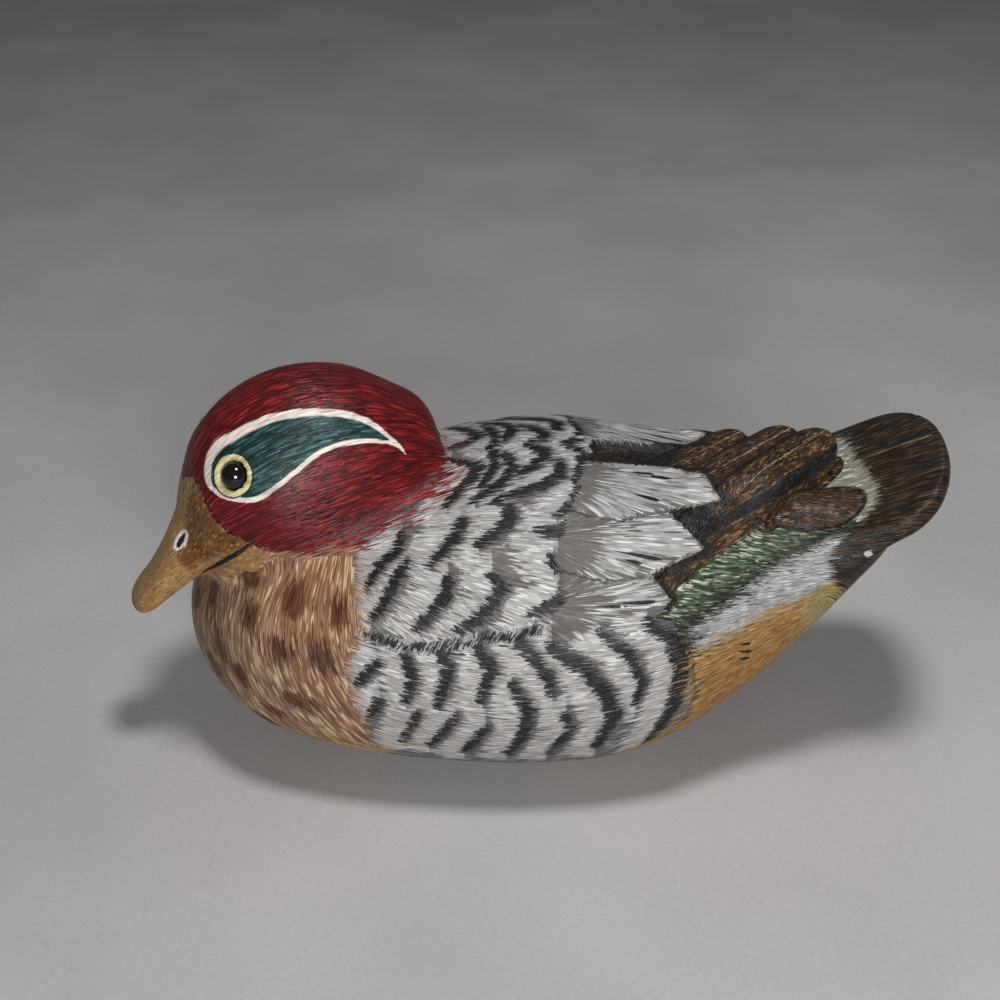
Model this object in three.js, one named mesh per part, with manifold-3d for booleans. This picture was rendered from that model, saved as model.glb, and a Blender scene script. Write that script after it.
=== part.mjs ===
// A small carved wooden duck, resting with its head turned a little to its left.
// One block of wood carries body, head, bill, folded wings and tail; the two eyes are beads set in sockets.
// Millimetres. The bill points to -X, the tail to +X, the duck's left side is -Y, and it rests on z = 0.
import * as THREE from "three";
import { mergeVertices } from "three/addons/utils/BufferGeometryUtils.js";
import Module from "manifold-3d";

// Stations of the body: along, half width, height of the top, height of the bottom, height of the girth.
const BODY_STATIONS = [
  [-72.3, 0.5, 24.5, 23.5, 24.0],
  [-70.0, 11.0, 33.5, 15.0, 24.0],
  [-65.0, 19.5, 38.5, 9.0, 24.0],
  [-55.0, 29.5, 46.0, 3.6, 24.0],
  [-40.0, 35.5, 52.0, 0.0, 24.0],
  [-20.0, 38.8, 58.0, -2.2, 24.5],
  [0.0, 39.5, 60.8, -3.0, 25.5],
  [15.0, 38.0, 60.0, -2.0, 27.0],
  [28.0, 34.5, 57.5, 3.5, 29.5],
  [40.0, 28.8, 54.5, 11.8, 33.5],
  [52.0, 23.5, 51.0, 24.6, 38.5],
  [60.0, 19.5, 50.5, 34.5, 43.0],
  [66.0, 16.5, 53.0, 42.0, 47.5],
  [71.0, 10.5, 55.5, 49.5, 52.5],
  [74.0, 0.5, 56.5, 55.5, 56.0],
];
const BODY_POWERS = [2.2, 2.25];

// The head has its own frame: forward along the beak side, across, and up.
const HEAD_CENTRE = new THREE.Vector3(-47.0, -1.0, 56.6);
const HEAD_TURN = 18.0;
const HEAD_DROOP = 12.0;
const HEAD_STATIONS = [
  [-27.0, 0.5, 0.5, -2.5, -1.0],
  [-25.5, 8.0, 5.5, -8.0, -1.0],
  [-22.0, 12.5, 9.0, -13.0, -1.0],
  [-12.0, 17.8, 17.0, -19.0, -1.0],
  [0.0, 19.5, 20.0, -20.0, -1.0],
  [10.0, 18.8, 18.2, -19.5, -1.5],
  [18.0, 15.5, 13.4, -17.5, -2.5],
  [23.5, 10.5, 5.5, -14.5, -4.0],
  [26.5, 0.5, -4.5, -5.5, -5.0],
];
const HEAD_POWERS = [2.1, 2.2];

// The bill leaves the head at this place in the head's frame and slopes down from it.
const BILL_FORWARD = 19.5;
const BILL_UP = -6.5;
const BILL_SLOPE = 27.0;
const BILL_STATIONS = [
  [-6.0, 10.4, 13.0, -9.0, 0.0],
  [0.0, 9.0, 10.6, -7.8, 0.0],
  [6.0, 7.4, 7.4, -5.2, 0.0],
  [12.0, 6.4, 4.7, -3.6, 0.0],
  [17.0, 6.1, 3.0, -2.6, 0.0],
  [20.5, 5.8, 2.2, -2.1, 0.0],
  [22.7, 4.6, 1.5, -1.6, 0.0],
  [24.2, 0.3, 0.1, -0.1, 0.0],
];
const BILL_POWERS = [2.3, 2.3];

// The parting of the bill: its height over the bill's axis, and how it curls up behind this place.
const MOUTH_HEIGHT = -2.7;
const MOUTH_RISE = 0.02;
const MOUTH_CURL_FROM = 3.0;
const MOUTH_CURL = 0.045;
const MOUTH_CURL_POWER = 1.9;
const MOUTH_BACK = -8.0;
const MOUTH_FRONT = 17.0;
const MOUTH_DEPTH = 0.9;
const MOUTH_WIDTH = 0.75;

const NECK_CENTRE = new THREE.Vector3(-41.0, -0.5, 38.0);
const NECK_RADII = new THREE.Vector3(22.0, 19.5, 26.0);

// The tail is a fan lifted at the back, a little turned and rolled as the carver left it.
const TAIL_ROOT = new THREE.Vector3(50.0, 1.5, 48.3);
const TAIL_LIFT = 25.0;
const TAIL_TURN = -4.0;
const TAIL_ROLL = 3.0;
const TAIL_LENGTH = 32.0;
const TAIL_HIDDEN_LENGTH = 10.0;
const TAIL_HALF_WIDTH = 20.4;
const TAIL_ROOT_NARROWER = 0.8;
const TAIL_ROUND_FROM = 19.0;
const TAIL_ROUND_POWER = 2.15;
const TAIL_ROOT_THICKNESS = 6.8;
const TAIL_TIP_THICKNESS = 2.8;
const TAIL_EDGE_ROUND = 1.5;
const TAIL_DROOP = 0.0028;

// Folded flight feathers: root x, y; tip x, y; half width at root and tip; height at root and tip.
// The left wing crosses over the right one, so only the right wing's tip shows on the left side.
const LEFT_FEATHERS = [
  [20, -30, 54.6, 6.0, 5.0, 4.8, 57.0, 59.2],
  [15, -24, 48.0, 9.0, 5.5, 4.8, 57.5, 58.2],
  [12, -17, 37.5, 8.0, 6.0, 4.8, 58.5, 57.9],
];
const RIGHT_FEATHERS = [
  [41, -6, 56.6, -8.3, 4.8, 4.8, 53.5, 53.5],
  [20, 30, 46.0, -1.0, 5.0, 4.6, 58.0, 54.6],
  [15, 24, 39.0, -1.0, 5.5, 4.6, 58.5, 55.0],
  [12, 17, 34.0, -1.0, 6.0, 4.6, 59.0, 55.8],
];
const FEATHER_THICKNESS = 5.0;
const FEATHER_ROOT_DEPTH = 30.0;
const FEATHER_TILT = 0.1;
const FEATHER_CROWN = 0.05;
const FEATHER_EDGE_ROUND = 1.2;
const FEATHER_UNDER_ROUND = 1.5;
// Height of a feather over the plain body: sunk at its root, and standing free past a share of its length.
const FEATHER_SUNK = 0.6;
const FEATHER_RISE = 2.2;
const FEATHER_FREE_FROM = 0.35;
const FEATHER_FREE_RISE = 9.0;
const FEATHER_FREE_POWER = 1.3;
const FEATHER_HUG_CROWN = 0.7;
const FEATHER_HUG_ROUND = 0.9;
const FEATHER_PARTING = 0.3;
const WING_PARTING = 0.5;

// Carving on the body is laid out along it (x) and round it (measured from the spine, both in mm).
const ROUND_RADIUS = 39.0;
// Where the cape of broad shoulder feathers and the flank end: distance round the body, x of the edge.
const CAPE_EDGE = [
  [0, 9], [2.6, 10], [6.2, 30.7], [15.6, 34], [18.8, 23.5], [28.5, 30.4], [33.8, 19.8], [39.8, 23.4],
  [43.5, 20.5], [45.3, 23.7], [56, 27.2], [70, 28.4], [80, 26.5], [86, 19], [92, 0],
];
// How far the surface behind that edge is cut down: distance round the body, depth.
const CAPE_STEP = [[0, 1.6], [42, 1.6], [48, 0.9], [70, 0.8], [88, 0]];
// Valleys that part the cape into lobes, and the lower edge of the wing: depth, then x and distance round.
const VALLEYS = [
  { depth: 1.1, line: [[23.5, 18.9], [14.2, 22], [4, 20]] },
  { depth: 1.1, line: [[19.1, 34.3], [10.7, 34.8], [1, 32]] },
  { depth: 1.2, line: [[20.5, 42.8], [9.2, 44.4], [0, 46], [-17.6, 45], [-34, 43]] },
];
const VALLEY_WIDTH = 2.2;
const VALLEY_FLOOR = 0.55;
const VALLEY_FULL_SHARE = 0.35;
const STEP_LEAD = 0.3;
const STEP_RUN = 0.9;
// The cut behind the cape dies out over this stretch of the rump.
const STEP_FADE_FROM = 40.0;
const STEP_FADE_LENGTH = 16.0;

// The head and bill matter only in front of the first x, the wing feathers and tail only behind the second,
// and the carving only this near to the plain body.
const HEAD_LIMIT = 0.0;
const WING_LIMIT = 4.0;
const RELIEF_REACH = 4.0;

// Softness of the joins between the volumes.
const NECK_BLEND = 5.0;
const SHOULDER_BLEND = 7.0;
const BILL_BLEND = 3.0;
const TAIL_BLEND = 4.0;
const WING_BLEND = 0.8;

// The eyes, placed in the head's frame; the right one was set a little lower than the left one.
const EYE_FORWARD = 14.6;
const EYE_ACROSS = 12.8;
const LEFT_EYE_UP = 10.5;
const RIGHT_EYE_UP = 7.8;
const EYE_RADIUS = 2.7;
const EYE_SUNK = 1.2;
const EYE_GAP = 0.3;

// Fineness of the first surface, and the number of facets kept on the wood.
const GRID_STEP = 0.8;
const FACET_TARGET = 8400;
const EYE_SIDES = 16;
const EYE_RINGS = 12;

const COLOURS = { wood: "#8f857c", eye: "#0c0b0b" };

// Samples along a loft, and the steepest side slope that its distances allow for.
const LOFT_SAMPLES = 600;
const LOFT_STEEPEST = 1.6;
const SMALLEST_SPAN = 0.05;

const clamp = (value, low, high) => Math.min(Math.max(value, low), high);
const radians = THREE.MathUtils.degToRad;

// A smooth step from 0 to 1.
function ramp(t) {
  const s = clamp(t, 0, 1);
  return s * s * (3 - 2 * s);
}

// Straight-line reading of a small table of [at, value] rows.
function lookUp(rows, at) {
  if (at <= rows[0][0]) return rows[0][1];
  for (let i = 1; i < rows.length; i += 1) {
    if (at <= rows[i][0]) {
      const t = (at - rows[i - 1][0]) / (rows[i][0] - rows[i - 1][0]);
      return rows[i - 1][1] + t * (rows[i][1] - rows[i - 1][1]);
    }
  }
  return rows[rows.length - 1][1];
}

// Union and intersection of two distances with a rounded join of the given size.
function blend(a, b, size) {
  const h = Math.max(size - Math.abs(a - b), 0) / size;
  return Math.min(a, b) - (h * h * h * size) / 6;
}
function trim(a, b, size) {
  return -blend(-a, -b, size);
}

// A smooth curve through (at, value) pairs, with the ends left free.
function curveThrough(at, value) {
  const last = at.length - 1;
  const step = at.slice(1).map((a, i) => a - at[i]);
  const rise = step.map((h, i) => (value[i + 1] - value[i]) / h);
  const slope = value.map((_, i) => {
    if (i === 0) return rise[0];
    if (i === last) return rise[last - 1];
    return (rise[i - 1] * step[i] + rise[i] * step[i - 1]) / (step[i] + step[i - 1]);
  });
  return (a) => {
    let i = 0;
    while (i < last - 1 && a > at[i + 1]) i += 1;
    const h = step[i];
    const t = clamp((a - at[i]) / h, 0, 1);
    const t2 = t * t;
    const t3 = t2 * t;
    const start = (2 * t3 - 3 * t2 + 1) * value[i] + (t3 - 2 * t2 + t) * h * slope[i];
    const end = (3 * t2 - 2 * t3) * value[i + 1] + (t3 - t2) * h * slope[i + 1];
    return start + end;
  };
}

// A rounded solid along one axis. Its cross sections are superellipses whose size follows the stations.
// The stations are spread by angle, so the two ends round off like the ends of an egg.
class Loft {
  constructor(stations, [upperPower, lowerPower]) {
    this.start = stations[0][0];
    this.end = stations[stations.length - 1][0];
    this.upperPower = upperPower;
    this.lowerPower = lowerPower;
    this.count = LOFT_SAMPLES;
    const angle = (x) => Math.acos(clamp(1 - (2 * (x - this.start)) / (this.end - this.start), -1, 1));
    const at = stations.map((row) => angle(row[0]));
    const curves = [1, 2, 3, 4].map((column) => curveThrough(at, stations.map((row) => row[column])));
    this.step = (this.end - this.start) / this.count;
    this.table = curves.map((curve) => {
      const row = new Float64Array(this.count + 1);
      for (let i = 0; i <= this.count; i += 1) row[i] = curve(angle(this.start + i * this.step));
      return row;
    });
    // Distances shrink where the sides slope towards the ends.
    this.lean = new Float64Array(this.count + 1);
    for (let i = 0; i <= this.count; i += 1) {
      const before = Math.max(i - 1, 0);
      const after = Math.min(i + 1, this.count);
      const slopes = this.table.slice(0, 3).map((row) => Math.abs(row[after] - row[before]));
      const steepest = Math.max(...slopes) / ((after - before) * this.step);
      this.lean[i] = Math.hypot(1, Math.min(steepest, LOFT_STEEPEST));
    }
  }

  read(row, x) {
    const place = clamp((x - this.start) / this.step, 0, this.count);
    const i = Math.min(Math.floor(place), this.count - 1);
    return row[i] + (place - i) * (row[i + 1] - row[i]);
  }

  section(x) {
    const [half, top, bottom, girth] = this.table.map((row) => this.read(row, x));
    return { half: Math.max(half, SMALLEST_SPAN), top, bottom, girth };
  }

  // Height of the section's upper or lower part, whichever the point is in.
  static reach(section, z) {
    const span = z > section.girth ? section.top - section.girth : section.girth - section.bottom;
    return Math.max(span, SMALLEST_SPAN);
  }

  distance(x, y, z) {
    const section = this.section(x);
    const reach = Loft.reach(section, z);
    const power = z > section.girth ? this.upperPower : this.lowerPower;
    const side = Math.pow(Math.abs(y) / section.half, power);
    const rise = Math.pow(Math.abs(z - section.girth) / reach, power);
    const ratio = Math.pow(side + rise, 1 / power);
    const away = Math.hypot(y, z - section.girth);
    const low = Math.min(section.half, reach);
    const high = Math.max(section.half, reach);
    const radius = clamp(away / Math.max(ratio, 1e-6), low, high);
    const d = ((ratio - 1) * radius) / this.read(this.lean, x);
    const beyond = Math.max(this.start - x, x - this.end, 0);
    return beyond > 0 ? Math.hypot(Math.max(d, 0), beyond) : d;
  }
}

const body = new Loft(BODY_STATIONS, BODY_POWERS);
const head = new Loft(HEAD_STATIONS, HEAD_POWERS);
const bill = new Loft(BILL_STATIONS, BILL_POWERS);

// Axes of a frame lifted, turned and rolled by the given angles; forward is the first axis.
function axesOf(lift, turn, roll, facing) {
  const [p, t, r] = [lift, turn, roll].map(radians);
  const level = Math.cos(p) * facing;
  const forward = new THREE.Vector3(level * Math.cos(t), level * Math.sin(t), Math.sin(p));
  const side = new THREE.Vector3(-Math.sin(t), Math.cos(t), 0);
  const up = new THREE.Vector3().crossVectors(forward, side).multiplyScalar(facing);
  const across = side.clone().multiplyScalar(Math.cos(r)).addScaledVector(up, Math.sin(r));
  const normal = up.clone().multiplyScalar(Math.cos(r)).addScaledVector(side, -Math.sin(r));
  return [forward, across, normal];
}

const headAxes = axesOf(-HEAD_DROOP, HEAD_TURN, 0, -1);
const tailAxes = axesOf(TAIL_LIFT, TAIL_TURN, TAIL_ROLL, 1);

function inFrame(origin, axes, x, y, z) {
  const dx = x - origin.x;
  const dy = y - origin.y;
  const dz = z - origin.z;
  return axes.map((axis) => dx * axis.x + dy * axis.y + dz * axis.z);
}

const billCos = Math.cos(radians(BILL_SLOPE));
const billSin = Math.sin(radians(BILL_SLOPE));

function inBill(forward, across, up) {
  const df = forward - BILL_FORWARD;
  const du = up - BILL_UP;
  return [df * billCos - du * billSin, across, df * billSin + du * billCos];
}

function neckDistance(x, y, z) {
  const dx = (x - NECK_CENTRE.x) / NECK_RADII.x;
  const dy = (y - NECK_CENTRE.y) / NECK_RADII.y;
  const dz = (z - NECK_CENTRE.z) / NECK_RADII.z;
  return (Math.hypot(dx, dy, dz) - 1) * NECK_RADII.y;
}

// The parting between the two halves of the bill, rising towards the corners of the mouth.
function mouthCut(along, across, up) {
  const curl = MOUTH_CURL * Math.pow(Math.max(MOUTH_CURL_FROM - along, 0), MOUTH_CURL_POWER);
  const parting = MOUTH_HEIGHT + MOUTH_RISE * along + curl;
  const run = ramp((along - MOUTH_BACK) / 3) * (1 - ramp((along - MOUTH_FRONT) / 6));
  const sides = ramp((Math.abs(across) - 2) / 3);
  const off = (up - parting) / MOUTH_WIDTH;
  return MOUTH_DEPTH * run * sides * Math.exp(-off * off);
}

function tailDistance(x, y, z) {
  const [along, across, over] = inFrame(TAIL_ROOT, tailAxes, x, y, z);
  const height = over + TAIL_DROOP * across * across;
  const taper = clamp(along / TAIL_LENGTH, 0, 1);
  const halfWidth = TAIL_HALF_WIDTH - TAIL_ROOT_NARROWER * (1 - taper);
  const end = Math.max(along - TAIL_ROUND_FROM, 0) / (TAIL_LENGTH - TAIL_ROUND_FROM);
  const sum = Math.pow(end, TAIL_ROUND_POWER) + Math.pow(Math.abs(across) / halfWidth, TAIL_ROUND_POWER);
  const outline = (Math.pow(sum, 1 / TAIL_ROUND_POWER) - 1) * (TAIL_LENGTH - TAIL_ROUND_FROM);
  const half = (TAIL_ROOT_THICKNESS + (TAIL_TIP_THICKNESS - TAIL_ROOT_THICKNESS) * taper) / 2;
  const slab = Math.abs(height + half) - half;
  return trim(trim(outline, slab, TAIL_EDGE_ROUND), -TAIL_HIDDEN_LENGTH - along, 2);
}

// One flight feather: a blade with a rounded tip, crowned across, hugging the body at its root.
function featherDistance(x, y, z, bodyDistance, feather, innerSide) {
  const [rootX, rootY, tipX, tipY, rootHalf, tipHalf, rootTop, tipTop] = feather;
  const length = Math.hypot(tipX - rootX, tipY - rootY);
  const ux = (tipX - rootX) / length;
  const uy = (tipY - rootY) / length;
  const along = (x - rootX) * ux + (y - rootY) * uy;
  const across = ((y - rootY) * ux - (x - rootX) * uy) * innerSide;
  const t = clamp(along / length, 0, 1);
  const outline = Math.hypot(along - t * length, across) - (rootHalf + (tipHalf - rootHalf) * t);
  const crown = FEATHER_TILT * across - FEATHER_CROWN * across * across;
  const top = rootTop + (tipTop - rootTop) * t + crown;
  const free = Math.pow(clamp((t - FEATHER_FREE_FROM) / (1 - FEATHER_FREE_FROM), 0, 1), FEATHER_FREE_POWER);
  const lift = -FEATHER_SUNK + FEATHER_RISE * t + FEATHER_FREE_RISE * free + FEATHER_HUG_CROWN * crown;
  const under = top - FEATHER_THICKNESS - FEATHER_ROOT_DEPTH * (1 - t) - z;
  const blade = trim(outline, z - top, FEATHER_EDGE_ROUND);
  return trim(trim(blade, bodyDistance - lift, FEATHER_HUG_ROUND), under, FEATHER_UNDER_ROUND);
}

function wingsDistance(x, y, z, bodyDistance) {
  const stack = (feathers, innerSide) => feathers
    .map((feather) => featherDistance(x, y, z, bodyDistance, feather, innerSide))
    .reduce((a, b) => blend(a, b, FEATHER_PARTING));
  return blend(stack(RIGHT_FEATHERS, -1), stack(LEFT_FEATHERS, 1), WING_PARTING);
}

// Distance round the body's section from the spine to the point.
function roundBody(x, y, z) {
  const section = body.section(x);
  const reach = Loft.reach(section, z);
  return ROUND_RADIUS * Math.atan2(Math.abs(y) / section.half, (z - section.girth) / reach);
}

// A valley along a bent line, deepest at its first point and running out at its last.
function valleyDepth(x, round, { depth, line }) {
  const lengths = line.slice(1).map((point, i) => Math.hypot(point[0] - line[i][0], point[1] - line[i][1]));
  const total = lengths.reduce((a, b) => a + b);
  let nearest = Infinity;
  let place = 0;
  let run = 0;
  lengths.forEach((length, i) => {
    const [ax, ar] = line[i];
    const [bx, br] = line[i + 1];
    const t = clamp(((x - ax) * (bx - ax) + (round - ar) * (br - ar)) / (length * length), 0, 1);
    const off = Math.hypot(x - ax - t * (bx - ax), round - ar - t * (br - ar));
    if (off < nearest) {
      nearest = off;
      place = (run + t * length) / total;
    }
    run += length;
  });
  const fade = 1 - ramp((place - VALLEY_FULL_SHARE) / (1 - VALLEY_FULL_SHARE));
  return depth * fade * Math.exp(-Math.hypot(nearest, VALLEY_FLOOR) / VALLEY_WIDTH);
}

// Height of the carving over the plain body.
function relief(x, round) {
  const slope = lookUp(CAPE_EDGE, round + 0.5) - lookUp(CAPE_EDGE, round - 0.5);
  const beyond = (x - lookUp(CAPE_EDGE, round)) / Math.hypot(1, slope);
  const fade = 1 - ramp((x - STEP_FADE_FROM) / STEP_FADE_LENGTH);
  const step = lookUp(CAPE_STEP, round) * ramp((beyond + STEP_LEAD) / STEP_RUN) * fade;
  const valleys = VALLEYS.reduce((sum, valley) => sum + valleyDepth(x, round, valley), 0);
  return -step - valleys * (1 - ramp(beyond + STEP_LEAD));
}

// The whole carving as a distance: negative inside the wood, positive outside.
function duckDistance(x, y, z) {
  const plain = body.distance(x, y, z);
  let d = Math.abs(plain) < RELIEF_REACH ? plain - relief(x, roundBody(x, y, z)) : plain;
  if (x < HEAD_LIMIT) {
    const [forward, across, up] = inFrame(HEAD_CENTRE, headAxes, x, y, z);
    const [billAlong, billAcross, billUp] = inBill(forward, across, up);
    const upper = blend(head.distance(forward, across, up), neckDistance(x, y, z), NECK_BLEND);
    d = blend(d, upper, SHOULDER_BLEND);
    d = blend(d, bill.distance(billAlong, billAcross, billUp), BILL_BLEND);
    d += mouthCut(billAlong, billAcross, billUp);
  }
  if (x > WING_LIMIT) {
    d = blend(d, tailDistance(x, y, z), TAIL_BLEND);
    d = blend(d, wingsDistance(x, y, z, plain), WING_BLEND);
  }
  return d;
}

// A closed surface of triangles round the solid, with one vertex in each grid cell it passes through.
function surfaceOf(distance, low, high, step) {
  const [nx, ny, nz] = low.map((v, axis) => Math.ceil((high[axis] - v) / step) + 1);
  const values = new Float32Array(nx * ny * nz);
  const at = (i, j, k) => (k * ny + j) * nx + i;
  const point = (i, j, k) => [low[0] + i * step, low[1] + j * step, low[2] + k * step];

  // Whole blocks far from the surface take one value; the others are worked out node by node.
  const block = 4;
  const reach = (Math.sqrt(3) * block * step * 1.6) / 2 + 2;
  const fillBlock = (bi, bj, bk) => {
    const middle = distance(...point(bi + block / 2, bj + block / 2, bk + block / 2));
    for (let k = bk; k < Math.min(bk + block, nz); k += 1) {
      for (let j = bj; j < Math.min(bj + block, ny); j += 1) {
        for (let i = bi; i < Math.min(bi + block, nx); i += 1) {
          values[at(i, j, k)] = Math.abs(middle) > reach ? middle : distance(...point(i, j, k));
        }
      }
    }
  };
  for (let k = 0; k < nz; k += block) {
    for (let j = 0; j < ny; j += block) {
      for (let i = 0; i < nx; i += block) fillBlock(i, j, k);
    }
  }

  const corners = [0, 1, 2, 3, 4, 5, 6, 7].map((c) => [c & 1, (c >> 1) & 1, (c >> 2) & 1]);
  const offsets = corners.map(([a, b, c]) => at(a, b, c));
  const edges = [];
  for (let a = 0; a < 8; a += 1) {
    for (const bit of [1, 2, 4]) {
      if (!(a & bit)) edges.push([a, a | bit]);
    }
  }
  const cellCode = (base) => {
    let code = 0;
    for (let c = 0; c < 8; c += 1) {
      if (values[base + offsets[c]] < 0) code |= 1 << c;
    }
    return code;
  };
  const forCrossedCells = (visit) => {
    for (let k = 0; k < nz - 1; k += 1) {
      for (let j = 0; j < ny - 1; j += 1) {
        for (let i = 0; i < nx - 1; i += 1) {
          const code = cellCode(at(i, j, k));
          if (code !== 0 && code !== 255) visit(i, j, k, code);
        }
      }
    }
  };

  // A cell is pinched when two sheets of the surface would meet in it. The wood there is filled in.
  const inOnePiece = (code) => {
    let found = code & -code;
    for (let pass = 0; pass < 8; pass += 1) {
      for (const [a, b] of edges) {
        if (code & (1 << a) && code & (1 << b) && found & ((1 << a) | (1 << b))) found |= (1 << a) | (1 << b);
      }
    }
    return found === code;
  };
  const crossedFace = (code) => [1, 2, 4].some((normal) => [0, normal].some((side) => {
    const [p, q] = [1, 2, 4].filter((bit) => bit !== normal);
    const [a, b, c, d] = [side, side | p, side | q, side | p | q].map((corner) => (code >> corner) & 1);
    return a === d && b === c && a !== b;
  }));
  const pinched = Array.from({ length: 256 }, (_, code) => {
    return !inOnePiece(code) || !inOnePiece(255 & ~code) || crossedFace(code);
  });
  let filled = true;
  while (filled) {
    filled = false;
    forCrossedCells((i, j, k, code) => {
      if (!pinched[code]) return;
      const base = at(i, j, k);
      const outside = offsets.map((o) => base + o).filter((node) => values[node] >= 0);
      values[outside.reduce((a, b) => (values[a] < values[b] ? a : b))] = -0.02;
      filled = true;
    });
  }

  // One vertex per crossed cell, at the mean of the places where the surface crosses its edges.
  const vertexOf = new Int32Array(nx * ny * nz).fill(-1);
  const positions = [];
  forCrossedCells((i, j, k) => {
    const base = at(i, j, k);
    const sum = [0, 0, 0];
    let crossings = 0;
    for (const [a, b] of edges) {
      const [va, vb] = [values[base + offsets[a]], values[base + offsets[b]]];
      if (va < 0 === vb < 0) continue;
      const t = va / (va - vb);
      for (let axis = 0; axis < 3; axis += 1) {
        sum[axis] += corners[a][axis] + t * (corners[b][axis] - corners[a][axis]);
      }
      crossings += 1;
    }
    vertexOf[base] = positions.length / 3;
    positions.push(...point(i + sum[0] / crossings, j + sum[1] / crossings, k + sum[2] / crossings));
  });

  // Each crossed grid edge joins the four cells round it.
  const triangles = [];
  const steps = [[1, 0, 0], [0, 1, 0], [0, 0, 1]];
  for (let k = 1; k < nz - 1; k += 1) {
    for (let j = 1; j < ny - 1; j += 1) {
      for (let i = 1; i < nx - 1; i += 1) {
        const here = values[at(i, j, k)] < 0;
        for (let axis = 0; axis < 3; axis += 1) {
          const [a, b, c] = steps[axis];
          if (here === values[at(i + a, j + b, k + c)] < 0) continue;
          const [p, q] = [steps[(axis + 1) % 3], steps[(axis + 2) % 3]];
          const ring = [[0, 0], [1, 0], [1, 1], [0, 1]].map(([m, n]) => {
            return vertexOf[at(i - m * p[0] - n * q[0], j - m * p[1] - n * q[1], k - m * p[2] - n * q[2])];
          });
          if (!here) ring.reverse();
          triangles.push(ring[0], ring[1], ring[2], ring[0], ring[2], ring[3]);
        }
      }
    }
  }
  return { positions: Float64Array.from(positions), triangles: Int32Array.from(triangles) };
}

// Moves every vertex onto the surface along the slope of the distance.
function settle(positions, distance, rounds, longest) {
  const h = 0.05;
  for (let n = 0; n < positions.length; n += 3) {
    for (let round = 0; round < rounds; round += 1) {
      const [x, y, z] = [positions[n], positions[n + 1], positions[n + 2]];
      const value = distance(x, y, z);
      const slope = [
        (distance(x + h, y, z) - distance(x - h, y, z)) / (2 * h),
        (distance(x, y + h, z) - distance(x, y - h, z)) / (2 * h),
        (distance(x, y, z + h) - distance(x, y, z - h)) / (2 * h),
      ];
      const steep = Math.hypot(...slope);
      const move = clamp(value / Math.max(steep, 0.1), -longest, longest) / Math.max(steep, 0.1);
      for (let axis = 0; axis < 3; axis += 1) positions[n + axis] -= slope[axis] * move;
    }
  }
}

// A queue that gives back its cheapest entry first.
class Queue {
  constructor() {
    this.items = [];
  }

  push(item) {
    const { items } = this;
    let i = items.push(item) - 1;
    while (i > 0) {
      const parent = (i - 1) >> 1;
      if (items[parent].cost <= item.cost) break;
      items[i] = items[parent];
      i = parent;
    }
    items[i] = item;
  }

  pop() {
    const { items } = this;
    const first = items[0];
    const item = items.pop();
    const count = items.length;
    if (count === 0) return first;
    let i = 0;
    for (let child = 1; child < count; child = 2 * i + 1) {
      if (child + 1 < count && items[child + 1].cost < items[child].cost) child += 1;
      if (items[child].cost >= item.cost) break;
      items[i] = items[child];
      i = child;
    }
    items[i] = item;
    return first;
  }
}

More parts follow.
